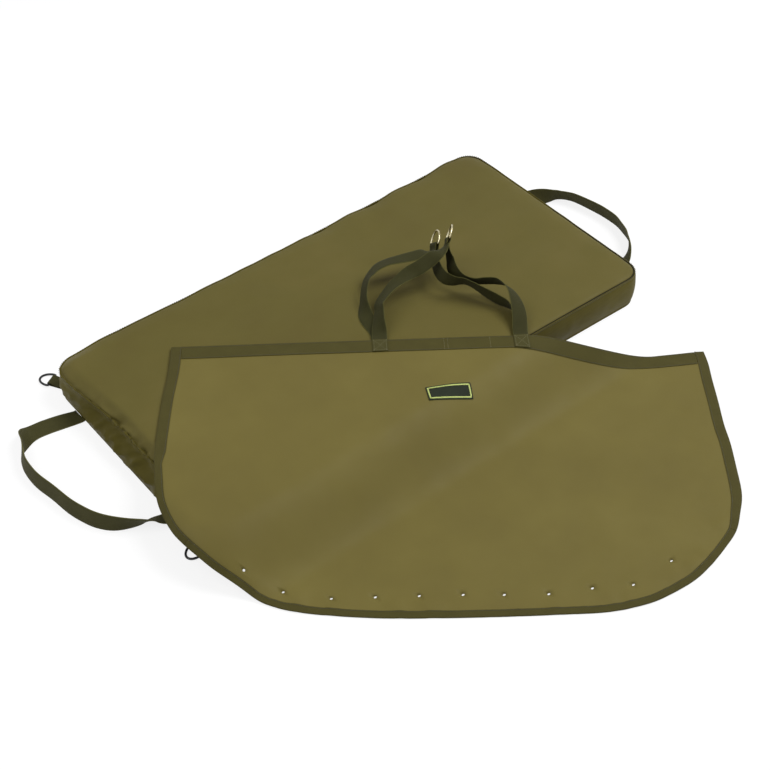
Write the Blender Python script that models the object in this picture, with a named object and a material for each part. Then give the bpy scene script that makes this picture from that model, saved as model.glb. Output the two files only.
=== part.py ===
import math

import bmesh
import bpy
from mathutils import Matrix, Vector

# Unhooking mat with its weigh sling laid across it, in metres.
# X runs along the mat, Y towards its back edge, Z up. The origin is the
# centre of the mat's underside, which lies on the ground.

# Mat
matLength = 0.902
matWidth = 0.450
matCornerRadius = 0.034
matSeamHeight = 0.0635
matCrownHeight = 0.0660
seamRollHeight = 0.0015
sideDrawIn = 0.0025
longEdgeDrawIn = 0.0070
coverThickness = 0.0012
basePanelThickness = 0.0020
crownShoulder = 0.0280
sewnGap = 0.0003

# Carry handles
handleWebWidth = 0.030
handleWebThickness = 0.0018
handleReach = 0.120
handleSpan = 0.265
leftHandleCentre = 0.0120
rightHandleCentre = -0.0200
handleLeanShare = 1.30

# Tether rings and their tabs
tabWebWidth = 0.020
tabWebThickness = 0.0015
tetherWire = 0.0038
tetherInnerWidth = 0.0220
tetherDepth = 0.0220
rearTabLength = 0.0260
frontTabLength = 0.0055
rearTabAngle = math.radians(120)
frontTabAngle = math.radians(191)

# Weigh sling, laid askew over the front edge of the mat
slingWidth = 0.894
slingDepth = 0.519
slingTurn = math.radians(-36.2)
slingCornerX = -0.2841
slingCornerY = 0.1220
topBandWidth = 0.0280
sideBindingWidth = 0.0165
rimBindingWidth = 0.0110
slingClothThickness = 0.0005
bindingWrap = 0.0010
drapeStart = 0.0005
drapeRun = 0.1200

# Sling straps and weigh rings
strapWebWidth = 0.0250
strapWebThickness = 0.0012
strapCentre = 0.4515
strapSpread = 0.2300
strapReach = 0.1900
strapRise = 0.0515
strapDatum = 0.0690
foldRun = 0.0120
strapFootLength = 0.0260
strapFootSetback = 0.0015
weighWire = 0.0032
weighInnerWidth = 0.0280
weighDepth = 0.0240

# Where the bar of a ring bends into its bow
bendRunShare = 0.25
bendRiseShare = 0.20

# Label patch, left blank
patchCentreS = 0.4400
patchCentreT = 0.1200
patchWidth = 0.0720
patchHeight = 0.0270
patchTilt = math.radians(-9)
patchBorder = 0.0030
patchThickness = 0.0008
patchBorderRise = 0.0005

# Outline of the sling laid flat: shares of its width and of its depth
mouthShares = [
    (0.000, 0.000), (0.200, 0.000), (0.400, 0.000), (0.540, 0.000), (0.610, 0.001), (0.665, 0.003), (0.730, 0.009),
    (0.800, 0.014), (0.880, 0.018), (0.940, 0.011), (1.000, 0.000),
]
leftSideShares = [
    (0.000, 0.000), (-0.002, 0.106), (-0.009, 0.225), (-0.013, 0.347), (-0.015, 0.447), (-0.011, 0.536),
    (-0.003, 0.624), (0.017, 0.705), (0.040, 0.759),
]
rimShares = [
    (0.040, 0.759), (0.064, 0.799), (0.089, 0.836), (0.134, 0.883), (0.184, 0.934), (0.256, 0.966),
    (0.362, 0.989), (0.457, 0.997), (0.553, 1.001), (0.648, 1.002), (0.729, 1.000), (0.788, 0.981),
    (0.824, 0.957), (0.875, 0.907), (0.911, 0.852), (0.939, 0.797), (0.965, 0.740),
]
rightSideShares = [
    (1.000, 0.000), (1.001, 0.048), (0.999, 0.123), (0.998, 0.229), (0.996, 0.331), (0.998, 0.399),
    (0.996, 0.495), (0.992, 0.605), (0.978, 0.681), (0.965, 0.740),
]

# Handle routes: share of the reach, share of the span, share of the turn from flat to on edge
leftHandleShares = [
    (0.05, 0.510, 0.00), (0.26, 0.530, 0.06), (0.48, 0.550, 0.08), (0.65, 0.555, 0.12), (0.79, 0.525, 0.52),
    (0.90, 0.460, 0.98), (0.97, 0.415, 1.14), (1.04, 0.330, 1.14), (1.06, 0.235, 1.15), (1.05, 0.150, 1.15),
    (1.00, 0.030, 1.15), (0.95, -0.120, 1.17), (0.87, -0.240, 1.17), (0.79, -0.315, 1.15), (0.68, -0.380, 1.08),
    (0.53, -0.435, 0.90), (0.36, -0.475, 0.67), (0.23, -0.490, 0.39), (0.10, -0.510, 0.18),
]
rightHandleShares = [
    (0.08, 0.500, 0.06), (0.18, 0.475, 0.20), (0.31, 0.430, 0.43), (0.43, 0.380, 0.74), (0.55, 0.340, 1.04),
    (0.66, 0.315, 1.22), (0.75, 0.270, 1.25), (0.81, 0.210, 1.22), (0.86, 0.105, 1.18), (0.90, -0.015, 1.15),
    (0.90, -0.140, 1.15), (0.85, -0.225, 1.17), (0.79, -0.300, 1.18), (0.71, -0.350, 1.16), (0.61, -0.395, 1.02),
    (0.49, -0.435, 0.77), (0.34, -0.470, 0.47), (0.18, -0.490, 0.17), (0.06, -0.505, 0.00),
]

# Strap routes: centre as shares of half the spread, the reach and the rise,
# then the direction across the webbing
frontLeftLegShares = [
    ((-1.00, 0.07, 0.06), (1.00, -0.05, 0.05)),
    ((-1.00, 0.17, 0.26), (0.72, -0.55, 0.38)),
    ((-0.99, 0.27, 0.38), (0.50, -0.70, 0.50)),
    ((-0.97, 0.36, 0.45), (0.45, -0.75, 0.50)),
    ((-0.81, 0.49, 0.60), (0.42, -0.85, 0.30)),
    ((-0.67, 0.57, 0.67), (0.60, -0.78, 0.10)),
    ((-0.52, 0.64, 0.73), (0.68, -0.65, -0.30)),
    ((-0.37, 0.67, 0.86), (0.68, -0.60, -0.45)),
    ((-0.23, 0.715, 0.99), (0.64, -0.65, -0.40)),
    ((-0.09, 0.76, 1.14), (0.55, -0.80, 0.10)),
]
frontFoldShares = ((0.08, 0.93, 1.28), (0.10, -0.71, 0.70), (0.29, 0.68, 0.67))
frontRightLegShares = [
    ((0.09, 0.82, 0.75), (0.38, -0.56, 0.74)),
    ((0.12, 0.71, 0.62), (0.55, -0.40, 0.75)),
    ((0.23, 0.61, 0.55), (0.30, -0.30, 0.90)),
    ((0.40, 0.56, 0.55), (0.05, -0.42, 0.90)),
    ((0.57, 0.55, 0.58), (0.00, -0.36, 0.93)),
    ((0.73, 0.53, 0.62), (-0.05, -0.40, 0.90)),
    ((0.85, 0.48, 0.62), (-0.15, -0.68, 0.70)),
    ((0.94, 0.40, 0.54), (-0.55, -0.60, 0.55)),
    ((0.99, 0.29, 0.41), (-0.85, -0.40, 0.30)),
    ((1.01, 0.19, 0.25), (-0.97, -0.15, 0.10)),
    ((1.00, 0.06, 0.07), (-1.00, 0.00, 0.00)),
]
rearLeftLegShares = [
    ((-1.04, 0.12, -0.03), (1.00, 0.00, 0.00)),
    ((-1.17, 0.29, 0.02), (0.90, -0.05, 0.25)),
    ((-1.20, 0.46, 0.20), (0.40, -0.74, 0.54)),
    ((-1.15, 0.65, 0.39), (0.35, -0.71, 0.61)),
    ((-1.05, 0.73, 0.54), (0.29, -0.88, 0.38)),
    ((-0.96, 0.77, 0.64), (0.22, -0.94, 0.25)),
    ((-0.82, 0.80, 0.72), (0.25, -0.93, 0.25)),
    ((-0.67, 0.81, 0.78), (0.21, -0.97, 0.15)),
    ((-0.48, 0.84, 0.79), (0.19, -0.98, 0.03)),
    ((-0.30, 0.87, 0.82), (0.22, -0.97, 0.09)),
]
rearFoldShares = ((-0.11, 0.97, 0.95), (0.35, -0.66, 0.66), (0.21, 0.73, 0.62))
rearRightLegShares = [
    ((-0.13, 0.87, 0.60), (0.32, -0.40, 0.86)),
    ((-0.10, 0.72, 0.61), (0.37, 0.10, 0.92)),
    ((-0.02, 0.60, 0.63), (0.27, 0.07, 0.96)),
    ((0.12, 0.545, 0.64), (0.14, -0.21, 0.97)),
    ((0.25, 0.54, 0.62), (0.05, -0.41, 0.91)),
    ((0.35, 0.53, 0.55), (0.11, -0.52, 0.85)),
    ((0.46, 0.49, 0.48), (0.13, -0.46, 0.88)),
    ((0.60, 0.44, 0.37), (0.18, -0.31, 0.93)),
    ((0.74, 0.39, 0.28), (0.22, -0.27, 0.94)),
    ((0.87, 0.34, 0.23), (-0.10, -0.30, 0.93)),
    ((0.97, 0.26, 0.17), (-0.55, -0.30, 0.75)),
    ((1.02, 0.17, 0.06), (-0.95, -0.10, 0.25)),
    ((1.01, 0.06, -0.03), (-1.00, 0.00, 0.00)),
]

# Layers of the sling above its resting surface, from the mat up
rearFootBottom = -sewnGap
rearBandBottom = rearFootBottom + strapWebThickness + 2 * sewnGap
rearPanelBottom = rearBandBottom + slingClothThickness + sewnGap
frontPanelBottom = rearPanelBottom + slingClothThickness + sewnGap
frontBandBottom = frontPanelBottom + slingClothThickness + sewnGap
frontFootBottom = frontBandBottom + slingClothThickness + sewnGap
drapeTop = matCrownHeight + 2 * sewnGap
drapeFloor = sewnGap - rearBandBottom

# Mesh counts and shading
smoothAngle = math.radians(35)
cornerSteps = 12
longSteps = 8
shortSteps = 4
slingColumns = 28
slingRows = 17
arcTableSteps = 80
pathSteps = 60
patchColumns = 9
patchRows = 5
footCells = 4
stationSteps = 2
foldSteps = 6
wireSides = 8
bowSteps = 12


for oldObject in list(bpy.data.objects):
    bpy.data.objects.remove(oldObject)


def makeMaterial(name, colour, roughness, metallic=0.0):
    material = bpy.data.materials.new(name)
    material.use_nodes = True
    shader = material.node_tree.nodes["Principled BSDF"]
    shader.inputs["Base Color"].default_value = (*colour, 1.0)
    shader.inputs["Roughness"].default_value = roughness
    shader.inputs["Metallic"].default_value = metallic
    return material


oliveCloth = makeMaterial("olive_coated_nylon", (0.150, 0.128, 0.042), 0.55)
darkCloth = makeMaterial("dark_olive_nylon", (0.070, 0.060, 0.022), 0.60)
webbing = makeMaterial("olive_webbing", (0.070, 0.066, 0.030), 0.75)
binding = makeMaterial("olive_binding", (0.080, 0.070, 0.030), 0.70)
foam = makeMaterial("closed_cell_foam", (0.600, 0.600, 0.580), 0.90)
blackWire = makeMaterial("black_coated_steel", (0.012, 0.012, 0.012), 0.35, 0.6)
nickel = makeMaterial("bright_nickel", (0.750, 0.740, 0.700), 0.20, 1.0)
patchCloth = makeMaterial("label_patch_cloth", (0.030, 0.050, 0.012), 0.60)


def makeObject(name, mesh, material, origin=None, parent=None):
    # A mesh given in world places, moved so that its object stands at its own origin.
    place = Vector(origin) if origin else Vector((0.0, 0.0, 0.0))
    mesh.transform(Matrix.Translation(-place))
    shell = bpy.data.objects.new(name, mesh)
    bpy.context.collection.objects.link(shell)
    mesh.materials.append(material)
    if parent:
        shell.parent = parent
        shell.location = place - parent.location
    else:
        shell.location = place
    return shell


def makeAxis(name, place):
    axis = bpy.data.objects.new(name, None)
    bpy.context.collection.objects.link(axis)
    axis.location = place
    axis.hide_render = True
    return axis


def closeLoops(name, loops, closedRound=False, smooth=True, flipped=()):
    # Loops of equal length become one skin, capped at both ends unless it closes on itself.
    # The strips in flipped are split along their other diagonal.
    bm = bmesh.new()
    rings = [[bm.verts.new(point) for point in loop] for loop in loops]
    count = len(rings[0])
    spans = list(zip(rings, rings[1:]))
    if closedRound:
        spans.append((rings[-1], rings[0]))
    for lower, upper in spans:
        for k in range(count):
            nextK = (k + 1) % count
            if k in flipped:
                bm.faces.new((lower[k], lower[nextK], upper[k]))
                bm.faces.new((lower[nextK], upper[nextK], upper[k]))
            else:
                bm.faces.new((lower[k], lower[nextK], upper[nextK]))
                bm.faces.new((lower[k], upper[nextK], upper[k]))
    if not closedRound:
        bm.faces.new(list(reversed(rings[0])))
        bm.faces.new(rings[-1])
    bmesh.ops.recalc_face_normals(bm, faces=bm.faces)
    mesh = bpy.data.meshes.new(name)
    bm.to_mesh(mesh)
    bm.free()
    if smooth:
        mesh.shade_smooth()
        mesh.set_sharp_from_angle(angle=smoothAngle)
    return mesh


def outlineRing(inset, height):
    # The mat's rounded outline, drawn in along its long sides, at one inset and height.
    halfX = matLength / 2 - inset
    halfY = matWidth / 2 - inset
    radius = matCornerRadius - inset
    centreX = halfX - radius
    centreY = halfY - radius
    points = []
    for quarter, (signX, signY) in enumerate(((1, 1), (-1, 1), (-1, -1), (1, -1))):
        for step in range(cornerSteps + 1):
            angle = math.pi / 2 * (quarter + step / cornerSteps)
            x = signX * centreX + radius * math.cos(angle)
            y = signY * centreY + radius * math.sin(angle)
            points.append((x, y))
        sideSteps = longSteps if quarter % 2 == 0 else shortSteps
        turnX, turnY = points[-1]
        endX = -turnX if quarter % 2 == 0 else turnX
        endY = turnY if quarter % 2 == 0 else -turnY
        for step in range(1, sideSteps):
            share = step / sideSteps
            points.append((turnX + (endX - turnX) * share, turnY + (endY - turnY) * share))
    ring = []
    for x, y in points:
        drawn = longEdgeDrawIn * (1 - (x / (matLength / 2)) ** 2) * y / (matWidth / 2)
        ring.append(Vector((x, y - drawn, height)))
    return ring


bandBottom = basePanelThickness + sewnGap
bandTop = matSeamHeight - coverThickness / 2
bandMiddle = (bandBottom + bandTop) / 2
bandRise = bandTop - bandBottom
# Side band profile: share of its height, share of its draw-in
bandShares = [(0.00, 0.00), (0.18, 0.65), (0.50, 1.00), (0.82, 0.65), (1.00, 0.00)]


def coverSideBand():
    outer = []
    inner = []
    for heightShare, drawShare in bandShares:
        height = bandBottom + bandRise * heightShare
        outer.append(outlineRing(sideDrawIn * drawShare, height))
        inner.append(outlineRing(sideDrawIn * drawShare + coverThickness, height))
    mesh = closeLoops("cover_side_band", outer + inner[::-1], closedRound=True)
    return makeObject("cover_side_band", mesh, darkCloth)


def foamCore():
    wall = coverThickness + sewnGap
    rings = []
    for heightShare, drawShare in bandShares:
        height = bandBottom + bandRise * heightShare
        rings.append(outlineRing(sideDrawIn * drawShare + wall, height))
    underTop = matCrownHeight - coverThickness - sewnGap
    rings.append(outlineRing(crownShoulder, underTop))
    mesh = closeLoops("foam_core", rings)
    return makeObject("foam_core", mesh, foam)


def coverBasePanel():
    rings = [outlineRing(seamRollHeight / 2, 0.0), outlineRing(0.0, basePanelThickness / 2)]
    rings.append(outlineRing(0.0, basePanelThickness))
    mesh = closeLoops("cover_base_panel", rings)
    return makeObject("cover_base_panel", mesh, darkCloth)


def coverTopPanel():
    # A soft crown: steep at the sewn edge, then nearly flat.
    crownShares = [(0.00, 0.00), (0.07, 0.30), (0.25, 0.62), (0.55, 0.88), (1.00, 1.00)]
    seamTop = bandTop + sewnGap + coverThickness
    rise = matCrownHeight - seamTop
    upper = []
    lower = []
    for insetShare, riseShare in crownShares:
        height = seamTop + rise * riseShare
        upper.append(outlineRing(crownShoulder * insetShare, height))
        lower.append(outlineRing(crownShoulder * insetShare, height - coverThickness))
    mesh = closeLoops("cover_top_panel", lower[::-1] + upper)
    return makeObject("cover_top_panel", mesh, oliveCloth)


def drapeHeight(distance):
    share = min(max((distance - drapeStart) / drapeRun, 0.0), 1.0)
    return drapeTop - (drapeTop - drapeFloor) * share * share * (3 - 2 * share)


def drapeSlope(distance):
    share = min(max((distance - drapeStart) / drapeRun, 0.0), 1.0)
    return -(drapeTop - drapeFloor) * 6 * share * (1 - share) / drapeRun


def makeArcTable():
    # Length of cloth used from where the drape starts to fall, against plan distance.
    table = [(0.0, drapeStart)]
    step = drapeRun / arcTableSteps
    used = 0.0
    for k in range(arcTableSteps):
        middle = drapeStart + (k + 0.5) * step
        used += step * math.hypot(1.0, drapeSlope(middle))
        table.append((used, drapeStart + (k + 1) * step))
    return table


arcTable = makeArcTable()


def planDistance(flatDistance):
    used = flatDistance - drapeStart
    if used <= 0.0:
        return flatDistance
    if used >= arcTable[-1][0]:
        return arcTable[-1][1] + used - arcTable[-1][0]
    for (usedA, planA), (usedB, planB) in zip(arcTable, arcTable[1:]):
        if used <= usedB:
            return planA + (planB - planA) * (used - usedA) / (usedB - usedA)
    return flatDistance


def outsideMat(x, y):
    # Distance outside the mat's rounded outline, and the way straight out.
    reachX = abs(x) - (matLength / 2 - matCornerRadius)
    reachY = abs(y) - (matWidth / 2 - matCornerRadius)
    signX = math.copysign(1.0, x)
    signY = math.copysign(1.0, y)
    beyondX = max(reachX, 0.0)
    beyondY = max(reachY, 0.0)
    span = math.hypot(beyondX, beyondY)
    if span > 0.0:
        return span - matCornerRadius, Vector((signX * beyondX / span, signY * beyondY / span, 0.0))
    if reachX > reachY:
        return reachX - matCornerRadius, Vector((signX, 0.0, 0.0))
    return reachY - matCornerRadius, Vector((0.0, signY, 0.0))


slingAcross = Vector((math.cos(slingTurn), math.sin(slingTurn), 0.0))
slingDown = Vector((math.sin(slingTurn), -math.cos(slingTurn), 0.0))
slingCorner = Vector((slingCornerX, slingCornerY, 0.0))


def drape(flat, lift):
    # A point of the sling laid flat (across, down), lifted off its resting surface.
    place = slingCorner + slingAcross * flat[0] + slingDown * flat[1]
    flatDistance, outward = outsideMat(place.x, place.y)
    distance = planDistance(flatDistance)
    place -= outward * (flatDistance - distance)
    place.z = drapeHeight(distance)
    slope = drapeSlope(distance)
    normal = Vector((-slope * outward.x, -slope * outward.y, 1.0)).normalized()
    return place + normal * lift


def alongShares(shares, share):
    # A point part of the way along a run of outline shares, in metres on the flat sling.
    points = [Vector((s * slingWidth, t * slingDepth)) for s, t in shares]
    lengths = [0.0]
    for start, end in zip(points, points[1:]):
        lengths.append(lengths[-1] + (end - start).length)
    wanted = share * lengths[-1]
    for k in range(len(points) - 1):
        if wanted <= lengths[k + 1] or k == len(points) - 2:
            part = (wanted - lengths[k]) / (lengths[k + 1] - lengths[k])
            return points[k].lerp(points[k + 1], part)


def patchPoint(u, v):
    # The sling's outline filled smoothly between its four sides.
    top = alongShares(mouthShares, u)
    rim = alongShares(rimShares, u)
    left = alongShares(leftSideShares, v)
    right = alongShares(rightSideShares, v)
    corners = (1 - u) * (1 - v) * alongShares(leftSideShares, 0.0)
    corners += u * (1 - v) * alongShares(rightSideShares, 0.0)
    corners += (1 - u) * v * alongShares(leftSideShares, 1.0)
    corners += u * v * alongShares(rightSideShares, 1.0)
    return (1 - v) * top + v * rim + (1 - u) * left + u * right - corners


def makeSlingGrid():
    # Columns run from the mouth to the rim. Rows keep the band and bindings at true width.
    sideShare = sideBindingWidth / slingWidth
    columnShares = [0.0]
    for k in range(slingColumns - 1):
        columnShares.append(sideShare + (1 - 2 * sideShare) * k / (slingColumns - 2))
    columnShares.append(1.0)
    grid = []
    for u in columnShares:
        path = [patchPoint(u, k / pathSteps) for k in range(pathSteps + 1)]
        lengths = [0.0]
        for start, end in zip(path, path[1:]):
            lengths.append(lengths[-1] + (end - start).length)
        rows = [0.0, topBandWidth / 2, topBandWidth]
        inner = lengths[-1] - topBandWidth - rimBindingWidth
        for k in range(1, slingRows + 1):
            rows.append(topBandWidth + inner * k / slingRows)
        rows.append(lengths[-1])
        column = []
        k = 1
        for wanted in rows:
            while k < pathSteps and lengths[k] < wanted:
                k += 1
            part = (wanted - lengths[k - 1]) / (lengths[k] - lengths[k - 1])
            column.append(path[k - 1].lerp(path[k], min(part, 1.0)))
        grid.append(column)
    return grid


slingGrid = makeSlingGrid()
lastColumn = len(slingGrid) - 1
lastRow = len(slingGrid[0]) - 1


def plateMesh(name, lower, upper):
    # Two matching grids of points joined by a wall round their edge.
    bm = bmesh.new()
    low = [[bm.verts.new(point) for point in column] for column in lower]
    high = [[bm.verts.new(point) for point in column] for column in upper]
    columns = len(low)
    rows = len(low[0])
    for i in range(columns - 1):
        for j in range(rows - 1):
            for sheet in (low, high):
                bm.faces.new((sheet[i][j], sheet[i + 1][j], sheet[i + 1][j + 1]))
                bm.faces.new((sheet[i][j], sheet[i + 1][j + 1], sheet[i][j + 1]))
    border = [(i, 0) for i in range(columns)]
    border += [(columns - 1, j) for j in range(1, rows)]
    border += [(i, rows - 1) for i in range(columns - 2, -1, -1)]
    border += [(0, j) for j in range(rows - 2, 0, -1)]
    for (iA, jA), (iB, jB) in zip(border, border[1:] + border[:1]):
        bm.faces.new((low[iA][jA], low[iB][jB], high[iB][jB]))
        bm.faces.new((low[iA][jA], high[iB][jB], high[iA][jA]))
    bmesh.ops.recalc_face_normals(bm, faces=bm.faces)
    mesh = bpy.data.meshes.new(name)
    bm.to_mesh(mesh)
    bm.free()
    mesh.shade_smooth()
    mesh.set_sharp_from_angle(angle=smoothAngle)
    return mesh


def slingSheet(name, columns, rows, bottom, material, trim=0.0):
    # Part of the sling's grid as a sheet of cloth; trim shortens its first and last column.
    lower = []
    upper = []
    for i in range(columns[0], columns[1] + 1):
        flats = [slingGrid[i][j].copy() for j in range(rows[0], rows[1] + 1)]
        if trim and i in columns:
            side = 1 if i == columns[0] else -1
            for k, j in enumerate(range(rows[0], rows[1] + 1)):
                inward = slingGrid[i + side][j] - slingGrid[i][j]
                flats[k] += inward.normalized() * trim
        lower.append([drape(flat, bottom) for flat in flats])
        upper.append([drape(flat, bottom + slingClothThickness) for flat in flats])
    return makeObject(name, plateMesh(name, lower, upper), material)


def foldedBinding(name, edges, inners, flipped):
    # Tape folded round an edge of the two leaves: a leg above, a leg below, closed outside.
    # Its facets are split as those of the leaves, so that the legs lie parallel to them.
    low = rearBandBottom
    high = frontBandBottom + slingClothThickness
    loops = []
    for edge, inner in zip(edges, inners):
        outward = (edge - inner).normalized()
        outside = edge + outward * bindingWrap
        inside = edge + outward * (bindingWrap - slingClothThickness)
        section = [(outside, low), (inner, low), (inner, low + slingClothThickness)]
        section += [(inside, low + slingClothThickness), (inside, high - slingClothThickness)]
        section += [(inner, high - slingClothThickness), (inner, high), (outside, high)]
        loops.append([drape(flat, lift) for flat, lift in section])
    return makeObject(name, closeLoops(name, loops, smooth=False, flipped=flipped), binding)


def slingSideBinding(name, column, innerColumn):
    edges = [slingGrid[column][j] for j in range(lastRow + 1)]
    inners = [slingGrid[innerColumn][j] for j in range(lastRow + 1)]
    return foldedBinding(name, edges, inners, (2, 6) if column == 0 else (0, 4))


def slingRimBinding():
    edges = [slingGrid[i][lastRow].copy() for i in range(1, lastColumn)]
    inners = [slingGrid[i][lastRow - 1].copy() for i in range(1, lastColumn)]
    for row in (edges, inners):
        row[0] += (row[1] - row[0]).normalized() * sewnGap
        row[-1] += (row[-2] - row[-1]).normalized() * sewnGap
    return foldedBinding("sling_rim_binding", edges, inners, (0, 4))


def labelPatch():
    # A blank plate of cloth with a raised border, tilted a little on the front leaf.
    across = [-patchWidth / 2, -patchWidth / 2 + patchBorder]
    for k in range(1, patchColumns):
        across.append(across[1] + (patchWidth - 2 * patchBorder) * k / patchColumns)
    across += [patchWidth / 2 - patchBorder, patchWidth / 2]
    down = [-patchHeight / 2, -patchHeight / 2 + patchBorder]
    for k in range(1, patchRows):
        down.append(down[1] + (patchHeight - 2 * patchBorder) * k / patchRows)
    down += [patchHeight / 2 - patchBorder, patchHeight / 2]
    lower = []
    upper = []
    for i, x in enumerate(across):
        lowColumn = []
        highColumn = []
        for j, y in enumerate(down):
            flat = (patchCentreS + x * math.cos(patchTilt) - y * math.sin(patchTilt),
                    patchCentreT + x * math.sin(patchTilt) + y * math.cos(patchTilt))
            raised = patchBorderRise if i in (0, len(across) - 1) or j in (0, len(down) - 1) else 0.0
            lowColumn.append(drape(flat, frontBandBottom))
            highColumn.append(drape(flat, frontBandBottom + patchThickness + raised))
        lower.append(lowColumn)
        upper.append(highColumn)
    return makeObject("label_patch", plateMesh("label_patch", lower, upper), patchCloth)


def onLeafFacets(flat, lift):
    # As drape, but on the flat facets of the leaves' mesh, for what lies under them.
    point = Vector(flat)
    for i in range(lastColumn):
        for j in range(lastRow):
            a, b = slingGrid[i][j], slingGrid[i + 1][j]
            c, d = slingGrid[i + 1][j + 1], slingGrid[i][j + 1]
            for corners in ((a, b, c), (a, c, d)):
                edgeA = corners[1] - corners[0]
                edgeB = corners[2] - corners[0]
                away = point - corners[0]
                area = edgeA.x * edgeB.y - edgeA.y * edgeB.x
                u = (away.x * edgeB.y - away.y * edgeB.x) / area
                v = (edgeA.x * away.y - edgeA.y * away.x) / area
                if u >= 0.0 and v >= 0.0 and u + v <= 1.0:
                    places = [drape(corner, lift) for corner in corners]
                    return places[0] * (1 - u - v) + places[1] * u + places[2] * v
    return drape(flat, lift)


def strapFoot(name, side, bottom, place=drape):
    # A strap end sewn flat on its band, stopping just short of the sling's edge.
    centre = strapCentre + side * strapSpread / 2
    lower = []
    upper = []
    for i in range(footCells + 1):
        s = centre + strapWebWidth * (i / footCells - 0.5)
        flats = [(s, strapFootSetback + strapFootLength * j / footCells) for j in range(footCells + 1)]
        lower.append([place(flat, bottom) for flat in flats])
        upper.append([place(flat, bottom + strapWebThickness) for flat in flats])
    return makeObject(name, plateMesh(name, lower, upper), webbing)


def smoothThrough(points, steps):
    # Catmull-Rom curve through rows of numbers, end points kept.
    result = []
    for k in range(len(points) - 1):
        before = points[max(k - 1, 0)]
        start = points[k]
        end = points[k + 1]
        after = points[min(k + 2, len(points) - 1)]
        for n in range(steps):
            p = n / steps
            row = []
            for a, b, c, d in zip(before, start, end, after):
                bend = 2 * a - 5 * b + 4 * c - d
                row.append(0.5 * (2 * b + (c - a) * p + bend * p * p + (3 * b - a - 3 * c + d) * p ** 3))
            result.append(row)
    result.append(list(points[-1]))
    return result


def wayAlong(stations, k, endWay):
    # The band's direction at a station; its two ends are square to endWay.
    if k == 0:
        return endWay
    if k == len(stations) - 1:
        return -endWay
    return (stations[k + 1][0] - stations[k - 1][0]).normalized()


def webbingMesh(name, stations, width, thickness, endWay):
    # A flat band through stations of (centre, direction across the band). Its two faces
    # are split along the same diagonals, so that they stay apart where it twists.
    loops = []
    for k, (centre, across) in enumerate(stations):
        along = wayAlong(stations, k, endWay)
        flatAcross = (across - along * across.dot(along)).normalized()
        face = along.cross(flatAcross)
        loop = []
        for sideA, sideB in ((-0.5, -0.5), (0.5, -0.5), (0.5, 0.5), (-0.5, 0.5)):
            loop.append(centre + flatAcross * (width * sideA) + face * (thickness * sideB))
        loops.append(loop)
    return closeLoops(name, loops, flipped=(2,))


def carryHandle(name, side, shares, centreY):
    # A loop of webbing lying on the ground, flat at its sewn ends and on edge between.
    rest = handleWebThickness / 2 + sewnGap
    rows = [(0.0, *shares[0][1:])] + list(shares) + [(0.0, *shares[-1][1:])]
    rows[0] = (0.0, rows[0][1], 0.0)
    rows[-1] = (0.0, rows[-1][1], 0.0)
    path = smoothThrough(rows, stationSteps)
    spots = []
    for out, along, turn in path:
        spots.append((side * (matLength / 2 + sewnGap + max(out, 0.0) * handleReach),
                      centreY + along * handleSpan, min(max(turn, 0.0), handleLeanShare) * math.pi / 2))
    # The last stretch at each sewn end runs square to the mat.
    for end, near in ((0, 1), (-1, -2)):
        spots[near] = (spots[near][0], spots[end][1], 0.0)
    stations = []
    for k, (x, y, roll) in enumerate(spots):
        beforeX, beforeY = spots[max(k - 1, 0)][:2]
        afterX, afterY = spots[min(k + 1, len(spots) - 1)][:2]
        run = Vector((afterX - beforeX, afterY - beforeY, 0.0)).normalized()
        if k in (0, len(spots) - 1):
            run = Vector((side if k == 0 else -side, 0.0, 0.0))
        outward = Vector((-side * run.y, side * run.x, 0.0))
        across = outward * math.cos(roll) + Vector((0.0, 0.0, math.sin(roll)))
        height = rest + handleWebWidth / 2 * math.sin(roll)
        stations.append((Vector((x, y, height)), across))
    mesh = webbingMesh(name, stations, handleWebWidth, handleWebThickness, Vector((side, 0.0, 0.0)))
    root = (side * (matLength / 2 + sewnGap), centreY, rest + handleWebThickness / 2)
    axis = makeAxis(name + "_axis", root)
    return makeObject(name, mesh, webbing, axis.location, axis)


def ringMesh(name, centre, barAxis, bowWay, innerWidth, depth, wire, webWidth):
    # A D of wire: a bar that is straight across its webbing, and a bow that leaves its two ends.
    halfBar = (innerWidth + wire) / 2
    bend = halfBar - webWidth / 2 - sewnGap
    path = []
    for k in range(bowSteps + 1):
        angle = math.pi * k / bowSteps
        reach = depth * math.sin(angle)
        path.append((halfBar * math.cos(angle), max(reach, 0.0)))
    points = [(halfBar - bend, 0.0)]
    points.append((halfBar - bend * bendRunShare, bend * bendRiseShare))
    points += [(x, y + bend) for x, y in path[1:-1]]
    points.append((-halfBar + bend * bendRunShare, bend * bendRiseShare))
    points.append((-halfBar + bend, 0.0))
    scale = depth / (depth + bend)
    places = [centre + barAxis * x + bowWay * (y * scale) for x, y in points]
    face = barAxis.cross(bowWay)
    loops = []
    count = len(places)
    for k, place in enumerate(places):
        along = (places[(k + 1) % count] - places[k - 1]).normalized()
        side = along.cross(face)
        loop = []
        for n in range(wireSides):
            angle = 2 * math.pi * (n + 0.5) / wireSides
            loop.append(place + (side * math.cos(angle) + face * math.sin(angle)) * (wire / 2))
        loops.append(loop)
    return closeLoops(name, loops, closedRound=True)


tetherTurnRadius = tetherWire / 2 + sewnGap + tabWebThickness / 2


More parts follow.
